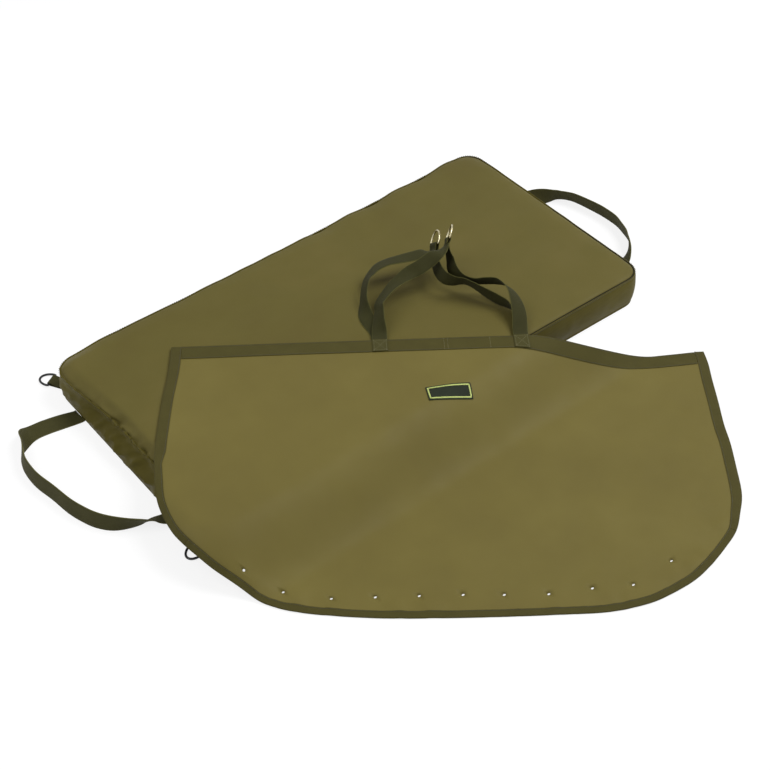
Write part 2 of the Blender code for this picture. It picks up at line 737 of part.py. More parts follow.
def tabAndRing(tabName, ringName, tabAngle, tabLength, cornerY):
    # Webbing folded round the ring's bar, both plies sewn into the base seam at the corner.
    outward = Vector((math.cos(tabAngle), math.sin(tabAngle), 0.0))
    across = Vector((-outward.y, outward.x, 0.0))
    up = Vector((0.0, 0.0, 1.0))
    corner = Vector((-(matLength / 2 - matCornerRadius), cornerY, 0.0))
    root = corner + outward * (matCornerRadius + sewnGap)
    lowPly = sewnGap + tabWebThickness / 2
    barHeight = lowPly + tetherTurnRadius
    highPly = lowPly + tabWebThickness + sewnGap
    spots = [(0.0, lowPly), (tabLength / 2, lowPly), (tabLength, lowPly)]
    for k in range(1, foldSteps):
        angle = math.pi * k / foldSteps - math.pi / 2
        reach = tabLength + tetherTurnRadius * math.cos(angle)
        spots.append((reach, barHeight + tetherTurnRadius * math.sin(angle)))
    highTurn = barHeight + tetherTurnRadius
    spots += [(tabLength, highTurn), (tabLength - tetherTurnRadius, highTurn - tabWebThickness / 4)]
    spots.append((0.0, highPly))
    stations = [(root + outward * run + up * height, across) for run, height in spots]
    makeObject(tabName, webbingMesh(tabName, stations, tabWebWidth, tabWebThickness, outward), webbing)
    bar = root + outward * tabLength + up * barHeight
    dip = math.asin((barHeight - tetherWire / 2 - sewnGap) / tetherDepth)
    bowWay = outward * math.cos(dip) - up * math.sin(dip)
    mesh = ringMesh(ringName, bar, across, bowWay, tetherInnerWidth, tetherDepth, tetherWire, tabWebWidth)
    axis = makeAxis(ringName + "_axis", bar)
    makeObject(ringName, mesh, blackWire, bar, axis)


strapOrigin = slingCorner + slingAcross * strapCentre + Vector((0.0, 0.0, strapDatum))
strapBack = -slingDown
strapTurnRadius = weighWire / 2 + 2 * sewnGap + strapWebThickness / 2


def strapPlace(shares):
    e, b, z = shares
    place = strapOrigin + slingAcross * (e * strapSpread / 2) + strapBack * (b * strapReach)
    return place + Vector((0.0, 0.0, z * strapRise))


def strapWay(shares):
    e, b, z = shares
    return (slingAcross * e + strapBack * b + Vector((0.0, 0.0, z))).normalized()


def foldFrame(foldShares):
    # Bar centre, bar axis, the way to the bow, and the way through the ring.
    apex, barShares, bowShares = foldShares
    barAxis = strapWay(barShares)
    bowWay = strapWay(bowShares)
    bowWay = (bowWay - barAxis * bowWay.dot(barAxis)).normalized()
    centre = strapPlace(apex) - bowWay * strapTurnRadius
    return centre, barAxis, bowWay, barAxis.cross(bowWay)


def restOnMat(stations):
    # Lifts a band wherever its lower edge would sink into the mat.
    settled = []
    for k, (centre, across) in enumerate(stations):
        along = wayAlong(stations, k, strapBack)
        flatAcross = (across - along * across.dot(along)).normalized()
        face = along.cross(flatAcross)
        depth = abs(flatAcross.z) * strapWebWidth / 2 + abs(face.z) * strapWebThickness / 2
        lifted = centre.copy()
        lifted.z = max(centre.z, drapeTop + depth)
        settled.append((lifted, across))
    return settled


def slingStrap(name, leftLeg, foldShares, rightLeg, footBottom, axisPlace):
    # A free loop from one sewn foot to the other, folded over the weigh ring's bar.
    footLift = drapeTop + footBottom + strapWebThickness / 2 - strapDatum
    edge = sewnGap / strapReach
    centre, barAxis, bowWay, through = foldFrame(foldShares)
    start = [((-1.0, edge, footLift / strapRise), (1.0, 0.0, 0.0))]
    finish = [((1.0, edge, footLift / strapRise), (-1.0, 0.0, 0.0))]
    legIn = [(*strapPlace(place), *strapWay(way)) for place, way in start + leftLeg]
    legOut = [(*strapPlace(place), *strapWay(way)) for place, way in rightLeg + finish]
    inside = centre + through * strapTurnRadius
    outside = centre - through * strapTurnRadius
    legIn += [(*(inside - bowWay * lead), *barAxis) for lead in (foldRun, strapTurnRadius)]
    legOut = [(*(outside - bowWay * lead), *barAxis) for lead in (strapTurnRadius, foldRun)] + legOut
    stations = [(Vector(row[:3]), Vector(row[3:])) for row in smoothThrough(legIn, stationSteps)]
    for k in range(foldSteps + 1):
        angle = math.pi * k / foldSteps
        spot = centre + through * (strapTurnRadius * math.cos(angle))
        spot += bowWay * (strapTurnRadius * math.sin(angle))
        stations.append((spot, barAxis))
    stations += [(Vector(row[:3]), Vector(row[3:])) for row in smoothThrough(legOut, stationSteps)]
    mesh = webbingMesh(name, restOnMat(stations), strapWebWidth, strapWebThickness, strapBack)
    axis = makeAxis(name + "_axis", axisPlace)
    return makeObject(name, mesh, webbing, axisPlace, axis)


def weighRing(name, foldShares):
    centre, barAxis, bowWay, _ = foldFrame(foldShares)
    mesh = ringMesh(name, centre, barAxis, bowWay, weighInnerWidth, weighDepth, weighWire, strapWebWidth)
    axis = makeAxis(name + "_axis", centre)
    return makeObject(name, mesh, nickel, centre, axis)


coverBasePanel()
coverSideBand()
foamCore()
coverTopPanel()
tabCornerY = matWidth / 2 - matCornerRadius
tabAndRing("rear_ring_tab", "rear_tether_ring", rearTabAngle, rearTabLength, tabCornerY)
tabAndRing("front_ring_tab", "front_tether_ring", frontTabAngle, frontTabLength, -tabCornerY)
carryHandle("left_carry_handle", -1, leftHandleShares, leftHandleCentre)
carryHandle("right_carry_handle", 1, rightHandleShares, rightHandleCentre)

slingSheet("sling_rear_panel", (0, lastColumn), (0, lastRow), rearPanelBottom, oliveCloth)
slingSheet("sling_front_panel", (0, lastColumn), (0, lastRow), frontPanelBottom, oliveCloth)
slingSheet("sling_rear_top_band", (1, lastColumn - 1), (0, 2), rearBandBottom, webbing, sewnGap)
slingSheet("sling_front_top_band", (1, lastColumn - 1), (0, 2), frontBandBottom, webbing, sewnGap)
slingSideBinding("sling_left_binding", 0, 1)
slingSideBinding("sling_right_binding", lastColumn, lastColumn - 1)
slingRimBinding()
labelPatch()
for sideName, side in (("left", -1), ("right", 1)):
    strapFoot("front_strap_" + sideName + "_foot", side, frontFootBottom)
    strapFoot("rear_strap_" + sideName + "_foot", side, rearFootBottom, onLeafFacets)

strapAxisPlace = strapOrigin + strapBack * sewnGap
strapAxisPlace.z = drapeTop + frontFootBottom
slingStrap("front_sling_strap", frontLeftLegShares, frontFoldShares, frontRightLegShares, frontFootBottom,
           strapAxisPlace)
slingStrap("rear_sling_strap", rearLeftLegShares, rearFoldShares, rearRightLegShares, rearFootBottom,
           strapAxisPlace)
weighRing("front_weigh_ring", frontFoldShares)
weighRing("rear_weigh_ring", rearFoldShares)
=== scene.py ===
import math
import bpy
import bmesh
import numpy as np
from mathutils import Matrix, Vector, kdtree, noise


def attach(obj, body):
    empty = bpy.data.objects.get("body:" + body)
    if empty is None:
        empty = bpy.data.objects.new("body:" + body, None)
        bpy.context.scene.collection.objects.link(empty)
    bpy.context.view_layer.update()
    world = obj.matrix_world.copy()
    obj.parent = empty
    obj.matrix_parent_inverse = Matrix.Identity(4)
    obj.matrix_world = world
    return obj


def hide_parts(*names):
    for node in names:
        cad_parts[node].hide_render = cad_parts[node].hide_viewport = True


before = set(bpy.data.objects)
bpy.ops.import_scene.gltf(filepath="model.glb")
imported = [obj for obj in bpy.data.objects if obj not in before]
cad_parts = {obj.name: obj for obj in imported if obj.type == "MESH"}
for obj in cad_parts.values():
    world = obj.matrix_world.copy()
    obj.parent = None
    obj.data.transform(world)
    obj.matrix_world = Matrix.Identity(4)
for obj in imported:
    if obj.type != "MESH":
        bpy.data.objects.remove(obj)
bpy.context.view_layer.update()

# Unhooking mat with a weigh sling laid over it. Lengths are in metres unless a name says mm.
mm = 0.001
gap = 0.3 * mm     # air between pieces that lie on each other
up = Vector((0.0, 0.0, 1.0))


# Small helpers

def clamped(share):
    return min(max(share, 0.0), 1.0)


def eased(share):
    return share * share * (3 - 2 * share)


def noiseAt(x, y, z):
    return noise.noise(Vector((x, y, z)))


def toLinear(hexColour):
    parts = [int(hexColour[i:i + 2], 16) / 255 for i in (1, 3, 5)]
    return tuple(p / 12.92 if p <= 0.04045 else ((p + 0.055) / 1.055) ** 2.4 for p in parts) + (1.0,)


def feed(tree, node, sources):
    # Each source is an output socket, a node that gives its first output, or a value.
    for socket, source in sources.items():
        entry = node.inputs[socket]
        if isinstance(source, bpy.types.Node):
            source = source.outputs[0]
        if isinstance(source, bpy.types.NodeSocket):
            tree.links.new(source, entry)
        else:
            entry.default_value = source


def addNode(tree, kind, sources=None, stops=(), **settings):
    # One node with its settings and links; stops are the places and hex colours of a colour ramp.
    node = tree.nodes.new(kind)
    for name, value in settings.items():
        setattr(node, name, value)
    for number, (place, colour) in enumerate(stops):
        elements = node.color_ramp.elements
        element = elements[number] if number < len(elements) else elements.new(place)
        element.position = place
        element.color = toLinear(colour)
    feed(tree, node, sources or {})
    return node


def newObject(name, data, material=None):
    made = bpy.data.objects.new(name, data)
    bpy.context.collection.objects.link(made)
    if material:
        data.materials.append(material)
    return made


def objectFrom(name, bm, material=None, turned=True):
    # A mesh object from a bmesh, with its faces turned outward.
    if turned:
        bmesh.ops.recalc_face_normals(bm, faces=bm.faces)
    mesh = bpy.data.meshes.new(name)
    bm.to_mesh(mesh)
    bm.free()
    return newObject(name, mesh, material)


def smoothed(shell, sharpAngle=None):
    shell.data.shade_smooth()
    if sharpAngle:
        shell.data.set_sharp_from_angle(angle=sharpAngle)
    return shell


def applyModifiers(shell):
    # The evaluated shape becomes the object's own mesh, and no modifier is left on it.
    graph = bpy.context.evaluated_depsgraph_get()
    evaluated = shell.evaluated_get(graph)
    made = bpy.data.meshes.new_from_object(evaluated, preserve_all_data_layers=True, depsgraph=graph)
    shell.modifiers.clear()
    old = shell.data
    shell.data = made
    bpy.data.meshes.remove(old)


def subdivided(shell):
    finer = shell.modifiers.new("finer", "SUBSURF")
    finer.levels = finer.render_levels = 1
    return finer


def dropAttributes(mesh, names):
    for name in names:
        if name in mesh.attributes:
            mesh.attributes.remove(mesh.attributes[name])


def vectorsOf(items, name):
    # One row of three numbers for each item.
    values = np.zeros(len(items) * 3)
    items.foreach_get(name, values)
    return values.reshape(-1, 3)


def aim(holder, place, way):
    holder.location = place
    holder.rotation_mode = "QUATERNION"
    holder.rotation_quaternion = Vector(way).to_track_quat("-Z", "Y")


def riding(shell, body, nodes=()):
    if nodes:
        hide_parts(*nodes)
    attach(shell, body)
    return shell


# Camera at the photograph's angle

cameraSettings = {"place": (-1.0756, -1.3979, 1.6861), "ahead": (0.4429, 0.5449, -0.7120),
                  "lens": 67.4, "sensor": 36.0}

camera = newObject("photoCamera", bpy.data.cameras.new("photoCamera"))
camera.data.lens = cameraSettings["lens"]
camera.data.sensor_width = cameraSettings["sensor"]
aim(camera, cameraSettings["place"], cameraSettings["ahead"])
bpy.context.scene.camera = camera


# Materials

wavePeriod = 2 * math.pi / 20     # scale of a wave texture whose bands are one metre apart
sineBands = {"wave_type": "BANDS", "wave_profile": "SIN"}


def newMaterial(name, values):
    material = bpy.data.materials.new(name)
    material.use_nodes = True
    shader = material.node_tree.nodes["Principled BSDF"]
    feed(material.node_tree, shader, values)
    return material, material.node_tree, shader


clothLook = {
    "threadMm": 1.1,          # the real weave is about 0.35 mm; drawn coarser so that it shows
    "weaveMm": 0.10, "crinkleMm": 0.35, "sheen": 0.02, "specular": 0.12, "duller": 0.07, "glossier": 0.05,
    "toneStops": (0.30, 0.52, 0.72),
}


def coatedNylon(name, hexes, roughness):
    # Coated nylon oxford: a dull plain weave with a little satin where light grazes it,
    # faint cloudy tone from the coating behind, and a soft handling crinkle.
    look = clothLook
    material, tree, shader = newMaterial(name, {"Sheen Weight": look["sheen"],
                                                "Specular IOR Level": look["specular"]})
    place = addNode(tree, "ShaderNodeTexCoord").outputs["Object"]
    clouds = addNode(tree, "ShaderNodeTexNoise", {"Vector": place, "Scale": 7.0, "Detail": 3.0,
                                                  "Roughness": 0.55})
    tone = addNode(tree, "ShaderNodeValToRGB", {"Fac": clouds.outputs["Fac"]}, zip(look["toneStops"], hexes))
    threads = {"Vector": place, "Scale": wavePeriod / (look["threadMm"] * mm), "Distortion": 0.4, "Detail": 1.0,
               "Detail Scale": 3.0}
    warp = addNode(tree, "ShaderNodeTexWave", threads, bands_direction="X", **sineBands)
    weft = addNode(tree, "ShaderNodeTexWave", threads, bands_direction="Y", **sineBands)
    weave = addNode(tree, "ShaderNodeMath", {0: warp.outputs["Fac"], 1: weft.outputs["Fac"]},
                    operation="MULTIPLY")
    shade = addNode(tree, "ShaderNodeMapRange", {"Value": weave, "To Min": 0.93, "To Max": 1.04})
    tinted = addNode(tree, "ShaderNodeVectorMath", {0: tone, "Scale": shade}, operation="SCALE")
    dull = addNode(tree, "ShaderNodeTexNoise", {"Vector": place, "Scale": 24.0, "Detail": 4.0})
    gloss = addNode(tree, "ShaderNodeMapRange", {
        "Value": dull.outputs["Fac"], "From Min": 0.3, "From Max": 0.7,
        "To Min": roughness - look["glossier"], "To Max": roughness + look["duller"]})
    crinkle = addNode(tree, "ShaderNodeTexNoise", {"Vector": place, "Scale": 38.0, "Detail": 5.0,
                                                   "Roughness": 0.6, "Distortion": 0.6})
    low = addNode(tree, "ShaderNodeBump", {"Height": crinkle.outputs["Fac"], "Distance": look["crinkleMm"] * mm,
                                           "Strength": 0.35})
    high = addNode(tree, "ShaderNodeBump", {"Height": weave, "Distance": look["weaveMm"] * mm, "Strength": 0.5,
                                            "Normal": low})
    feed(tree, shader, {"Base Color": tinted, "Roughness": gloss, "Normal": high})
    return material


# Paler tape edges are a painted highlight along the lit edges; the last three numbers say how much paler and
# over what span.
tapeLook = {"sheen": 0.03, "specular": 0.12, "weftShare": 0.7, "yarn": 0.35, "wear": 0.5,
            "toneStops": (0.30, 0.60, 1.0), "edgeHighlight": 2.1, "edgeHighlightBeforeMm": 0.5, "edgeHighlightAfterMm": 0.3}


def wovenTape(name, hexes, ribMm, roughness, bumpMm=0.22, edgeHighlightFromMm=0.0):
    # Woven webbing or tape: ribs across the band in two offset rows, hairy dull yarn,
    # a little darker in the grooves and paler on the worn ribs. UVs run in metres, with u
    # across the tape from its middle; past the given distance from the middle the tape is paler, a painted
    # highlight along its lit edges.
    look = tapeLook
    material, tree, shader = newMaterial(name, {"Roughness": roughness, "Sheen Weight": look["sheen"],
                                                "Specular IOR Level": look["specular"]})
    place = addNode(tree, "ShaderNodeUVMap", uv_map="webUV").outputs["UV"]
    rib = ribMm * mm
    warp = addNode(tree, "ShaderNodeTexWave", {
        "Vector": place, "Scale": wavePeriod / rib, "Distortion": 0.25, "Detail": 1.0, "Detail Scale": 2.0},
        bands_direction="X", **sineBands)
    weft = addNode(tree, "ShaderNodeTexWave", {
        "Vector": place, "Scale": wavePeriod / (rib * look["weftShare"]), "Distortion": 0.35, "Detail": 1.0,
        "Detail Scale": 2.0}, bands_direction="Y", **sineBands)
    weave = addNode(tree, "ShaderNodeMath", {0: warp.outputs["Fac"], 1: weft.outputs["Fac"]},
                    operation="MULTIPLY")
    yarn = addNode(tree, "ShaderNodeTexNoise", {"Vector": place, "Scale": 900.0, "Detail": 3.0})
    wear = addNode(tree, "ShaderNodeTexNoise", {"Vector": place, "Scale": 30.0, "Detail": 3.0})
    hairy = addNode(tree, "ShaderNodeMath", {0: yarn.outputs["Fac"], 1: look["yarn"], 2: weave},
                    operation="MULTIPLY_ADD")
    worn = addNode(tree, "ShaderNodeMath", {0: wear.outputs["Fac"], 1: look["wear"], 2: hairy},
                   operation="MULTIPLY_ADD")
    tone = addNode(tree, "ShaderNodeValToRGB", {"Fac": worn}, zip(look["toneStops"], hexes))
    # Painted highlight: the tape is paler towards its edges, where they catch the light.
    if edgeHighlightFromMm:
        across = addNode(tree, "ShaderNodeSeparateXYZ", {"Vector": place}).outputs["X"]
        side = addNode(tree, "ShaderNodeMath", {0: across}, operation="ABSOLUTE")
        paler = addNode(tree, "ShaderNodeMapRange", {
            "Value": side, "From Min": (edgeHighlightFromMm - look["edgeHighlightBeforeMm"]) * mm,
            "From Max": (edgeHighlightFromMm + look["edgeHighlightAfterMm"]) * mm, "To Min": 1.0, "To Max": look["edgeHighlight"]})
        tone = addNode(tree, "ShaderNodeVectorMath", {0: tone, "Scale": paler}, operation="SCALE")
    bump = addNode(tree, "ShaderNodeBump", {"Height": hairy, "Distance": bumpMm * mm, "Strength": 0.7})
    feed(tree, shader, {"Base Color": tone, "Normal": bump})
    return material


def metalWire(name, hexes, roughness, metallic, wearScale):
    # Plated or coated steel wire, bent cold: smooth, with a little cloudy wear.
    material, tree, shader = newMaterial(name, {"Metallic": metallic})
    place = addNode(tree, "ShaderNodeTexCoord").outputs["Object"]
    clouds = addNode(tree, "ShaderNodeTexNoise", {"Vector": place, "Scale": wearScale, "Detail": 4.0})
    wear = clouds.outputs["Fac"]
    tone = addNode(tree, "ShaderNodeValToRGB", {"Fac": wear}, zip((0.35, 0.65), hexes))
    gloss = addNode(tree, "ShaderNodeMapRange", {
        "Value": wear, "From Min": 0.3, "From Max": 0.7, "To Min": roughness * 0.8, "To Max": roughness * 1.3})
    bump = addNode(tree, "ShaderNodeBump", {"Height": wear, "Distance": 0.03 * mm, "Strength": 0.3})
    feed(tree, shader, {"Base Color": tone, "Roughness": gloss, "Normal": bump})
    return material


def sewingThread(name, hexes):
    # Bonded nylon thread: a slight shine on tight twisted plies.
    material, tree, shader = newMaterial(name, {"Roughness": 0.5, "Sheen Weight": 0.2})
    place = addNode(tree, "ShaderNodeTexCoord").outputs["Object"]
    ply = addNode(tree, "ShaderNodeTexNoise", {"Vector": place, "Scale": 1500.0, "Detail": 2.0})
    tone = addNode(tree, "ShaderNodeValToRGB", {"Fac": ply.outputs["Fac"]}, zip((0.35, 0.65), hexes))
    feed(tree, shader, {"Base Color": tone})
    return material


matCloth = coatedNylon("matTopCoatedNylon", ("#5F562A", "#625A2C", "#665D2F"), 0.55)
# The side band's cloth is the top's cloth made darker: painted shade on the upright sides.
shadedSideCloth = coatedNylon("matSideCoatedNylonPaintedShade", ("#4C4517", "#544C19", "#5C541D"), 0.58)
slingCloth = coatedNylon("slingCoatedNylon", ("#6D6333", "#716735", "#756B38"), 0.56)
baseCloth = coatedNylon("matBasePvcCoatedNylon", ("#25220F", "#2C2914", "#332F18"), 0.5)
# The handles and the strap loops get the painted highlight along their edges.
handleWebbing = wovenTape("olivePolypropyleneWebbing", ("#353318", "#403E20", "#4B4829"), 1.6, 0.72,
                          edgeHighlightFromMm=14.2)
# The strap loops' webbing is darker than the same webbing on the feet: painted shade on the loops.
shadedStrapWebbing = wovenTape("oliveStrapWebbingPaintedShade", ("#28270F", "#333216", "#3F3E20"), 1.6, 0.72, edgeHighlightFromMm=11.8)
footWebbing = wovenTape("oliveStrapFootWebbing", ("#3B3819", "#454221", "#4F4C2A"), 1.6, 0.72)
bandTape = wovenTape("oliveBindingTape", ("#3F3A1A", "#48431E", "#514C25"), 1.2, 0.70, 0.14)
blackSteel = metalWire("blackCoatedSteelWire", ("#0C0C0D", "#1A1A1B"), 0.32, 0.35, 90.0)
nickelSteel = metalWire("brightNickelPlatedWire", ("#A69C7A", "#CFC7A8"), 0.20, 1.0, 120.0)
oliveThread = sewingThread("oliveNylonThread", ("#6B6640", "#86805A"))
# Dark thread: real stitching whose dark colour also paints the shade lines along seams and tape edges.
darkThreadAndShadeLine = sewingThread("darkNylonThread", ("#241F0E", "#353016"))
patchTwill = wovenTape("patchDarkTwill", ("#14180F", "#20261A", "#2C3324"), 0.9, 0.6, 0.12)
patchEdge = wovenTape("patchLimeEmbroidery", ("#93A146", "#BECB72", "#D6E19A"), 0.7, 0.55, 0.2)
print("materials made")


# Geometry Nodes: a row of sewn stitches along guide lines that carry a surface direction

stitchSettings = {"Pitch": 3.6 * mm, "Length": 2.5 * mm, "Width": 0.75 * mm, "Rise": 0.25 * mm}


def makeStitchTree():
    tree = bpy.data.node_groups.new("stitchRow", "GeometryNodeTree")
    face = tree.interface
    face.new_socket("Guides", in_out="INPUT", socket_type="NodeSocketGeometry")
    for name, value in stitchSettings.items():
        face.new_socket(name, in_out="INPUT", socket_type="NodeSocketFloat").default_value = value
    face.new_socket("Thread", in_out="INPUT", socket_type="NodeSocketMaterial")
    face.new_socket("Stitches", in_out="OUTPUT", socket_type="NodeSocketGeometry")
    given = addNode(tree, "NodeGroupInput").outputs
    curve = addNode(tree, "GeometryNodeMeshToCurve", {"Mesh": given["Guides"]})
    spaced = addNode(tree, "GeometryNodeResampleCurve", {"Curve": curve, "Length": given["Pitch"]},
                     mode="LENGTH")
    bead = addNode(tree, "GeometryNodeMeshUVSphere", {"Segments": 6, "Rings": 4, "Radius": 0.5})
    size = addNode(tree, "ShaderNodeCombineXYZ", {"X": given["Length"], "Y": given["Width"],
                                                  "Z": given["Width"]})
    sized = addNode(tree, "GeometryNodeTransform", {"Geometry": bead, "Scale": size})
    lift = addNode(tree, "ShaderNodeCombineXYZ", {"Z": given["Rise"]})
    lifted = addNode(tree, "GeometryNodeTransform", {"Geometry": sized, "Translation": lift})
    tangent = addNode(tree, "GeometryNodeInputTangent")
    outward = addNode(tree, "GeometryNodeInputNamedAttribute", {"Name": "outward"}, data_type="FLOAT_VECTOR")
    turn = addNode(tree, "FunctionNodeAxesToRotation", {"Primary Axis": outward, "Secondary Axis": tangent},
                   primary_axis="Z", secondary_axis="X")
    copies = addNode(tree, "GeometryNodeInstanceOnPoints", {"Points": spaced, "Instance": lifted,
                                                            "Rotation": turn})
    real = addNode(tree, "GeometryNodeRealizeInstances", {"Geometry": copies})
    painted = addNode(tree, "GeometryNodeSetMaterial", {"Geometry": real, "Material": given["Thread"]})
    smooth = addNode(tree, "GeometryNodeSetShadeSmooth", {"Geometry": painted, "Shade Smooth": True})
    addNode(tree, "NodeGroupOutput", {"Stitches": smooth})
    return tree


stitchTree = makeStitchTree()


def sewStitches(name, lines, thread, **sizes):
    # lines: rows of (place, outward) along which the stitches run.
    places = []
    outs = []
    edges = []
    for line in lines:
        first = len(places)
        for place, outward in line:
            places.append(place)
            outs.extend(outward)
        edges += [(k, k + 1) for k in range(first, len(places) - 1)]
    mesh = bpy.data.meshes.new(name)
    mesh.from_pydata(places, edges, [])
    mesh.attributes.new("outward", "FLOAT_VECTOR", "POINT").data.foreach_set("vector", outs)
    shell = newObject(name, mesh)
    modifier = shell.modifiers.new("stitchRow", "NODES")
    modifier.node_group = stitchTree
    keys = {item.name: item.identifier for item in stitchTree.interface.items_tree if item.in_out == "INPUT"}
    for label, value in {**stitchSettings, **sizes, "Thread": thread}.items():
        modifier[keys[label]] = value
    applyModifiers(shell)
    dropAttributes(shell.data, ["outward"])
    return shell


# The mat: a foam slab in a sewn cover, its top and base panels joined by a side band

matSettings = {
    "length": 0.902, "width": 0.450, "cornerRadius": 0.034, "seamHeight": 0.0635, "crownHeight": 0.0662,
    "crownFoot": 1.0 * mm, "crownShoulder": 0.040, "longEdgeDrawIn": 0.0070, "cell": 7.0 * mm, "sideRings": 8,
    "sideFoot": 9.0 * mm, "sideTop": 6.5 * mm, "sideInset": 0.4 * mm, "sideSwell": 2.6 * mm,
    # From this x on, the front seam groove is painted in shade with the dark base cloth.
    "paintedGrooveShadeFrom": -0.36,
    # Rings of the cover in mm: inset, height, how firmly it is held while the cover settles.
    "footRings": ((3.0, 0.0, 1.0), (0.9, 0.6, 1.0), (0.3, 1.8, 1.0), (1.9, 3.2, 1.0), (1.0, 5.4, 0.6)),
    # The same round the top seam and its groove, with heights from the seam.
    "seamRings": ((1.2, -4.0, 0.5), (0.5, -2.4, 1.0), (0.9, -1.0, 1.0), (2.0, -1.0, 1.0), (3.2, -4.6, 1.0),
                  (4.6, -1.0, 1.0), (7.6, 1.0, 0.7)),
    "cloth": {
        "quality": 6, "mass": 0.4, "tension_stiffness": 20, "compression_stiffness": 20,
        "bending_stiffness": 0.3, "air_damping": 2.0, "use_pressure": True,
        "uniform_pressure_force": 4.0, "vertex_group_mass": "held",
        "pin_stiffness": 1.0, "vertex_group_shrink": "slack", "shrink_min": 0.0, "shrink_max": -0.05,
    },
    "settle": {
        "frames": 20, "sideCap": 2.2 * mm, "topCap": 0.5 * mm, "topShare": 0.3, "sideLift": 0.8 * mm,
        "slackFoot": 6.0 * mm, "slackTop": 2.0 * mm, "slackFrom": 0.30, "slackRun": 0.12, "slackLeast": 0.25,
    },
    "slack": {
        "nearFrom": 0.340, "nearRun": 0.095, "frontFrom": 0.185, "frontRun": 0.150, "drop": 8.0 * mm,
        "roll": 0.026, "lean": 0.014, "drag": 3.2 * mm, "leanReach": 0.075, "leanFoot": 26 * mm,
    },
    # Noise scales of the drag lines: along x, along y, y with height, height, and height against y.
    "folds": (20, 34, 46, 20, 14), "fineFolds": (40, 90, 120, 40, 30),
    "crease": {
        "endFrom": 0.395, "endRun": 0.045, "foldGain": 3.2, "fineGain": 0.7, "sideInside": 3 * mm,
        "sideBelow": 5 * mm, "sideFoot": 3 * mm, "sideRipple": 0.7 * mm, "hollowBelow": 14 * mm,
        "hollowWidth": 8 * mm, "hollow": 2.0 * mm, "frontHollow": 3.0 * mm, "bulgeHeight": 22 * mm,
        "bulgeWidth": 11 * mm, "bulge": 1.6 * mm, "edgeReach": 0.030, "pucker": 0.55 * mm, "middle": 0.30 * mm,
        "sink": 0.45 * mm, "sinkBase": 0.6, "rearFrom": 0.16, "rearRun": 0.04, "rearReach": 0.020,
        "rearWave": 3.2 * mm, "rollDrag": 0.8,
    },
}
straightX = matSettings["length"] - 2 * matSettings["cornerRadius"]
straightY = matSettings["width"] - 2 * matSettings["cornerRadius"]
cornerArc = matSettings["cornerRadius"] * math.pi / 2
wayRound = 2 * (straightX + straightY) + 4 * cornerArc


def drawnIn(x, y):
    # How far the long edges draw in, in proportion to y.
    m = matSettings
    return m["longEdgeDrawIn"] * (1 - (x / (m["length"] / 2)) ** 2) * y / (m["width"] / 2)


def outlineAt(share, inset):
    # A point of the rounded outline at a share of its way round, anticlockwise from the middle
    # of the back right corner.
    m = matSettings
    radius = m["cornerRadius"] - inset
    run = (share % 1.0) * wayRound + cornerArc / 2
    for quarter, straight in enumerate((straightX, straightY, straightX, straightY, 0.0)):
        if run <= cornerArc + straight:
            break
        run -= cornerArc + straight
    sideX, sideY = ((1, 1), (-1, 1), (-1, -1), (1, -1))[quarter % 4]
    if run <= cornerArc:
        angle = math.pi / 2 * quarter + run / m["cornerRadius"]
        x = sideX * straightX / 2 + radius * math.cos(angle)
        y = sideY * straightY / 2 + radius * math.sin(angle)
    elif quarter % 2 == 0:
        x = sideX * (straightX / 2 - (run - cornerArc))
        y = sideY * (m["width"] / 2 - inset)
    else:
        x = sideX * (m["length"] / 2 - inset)
        y = sideY * (straightY / 2 - (run - cornerArc))
    return Vector((x, y - drawnIn(x, y)))


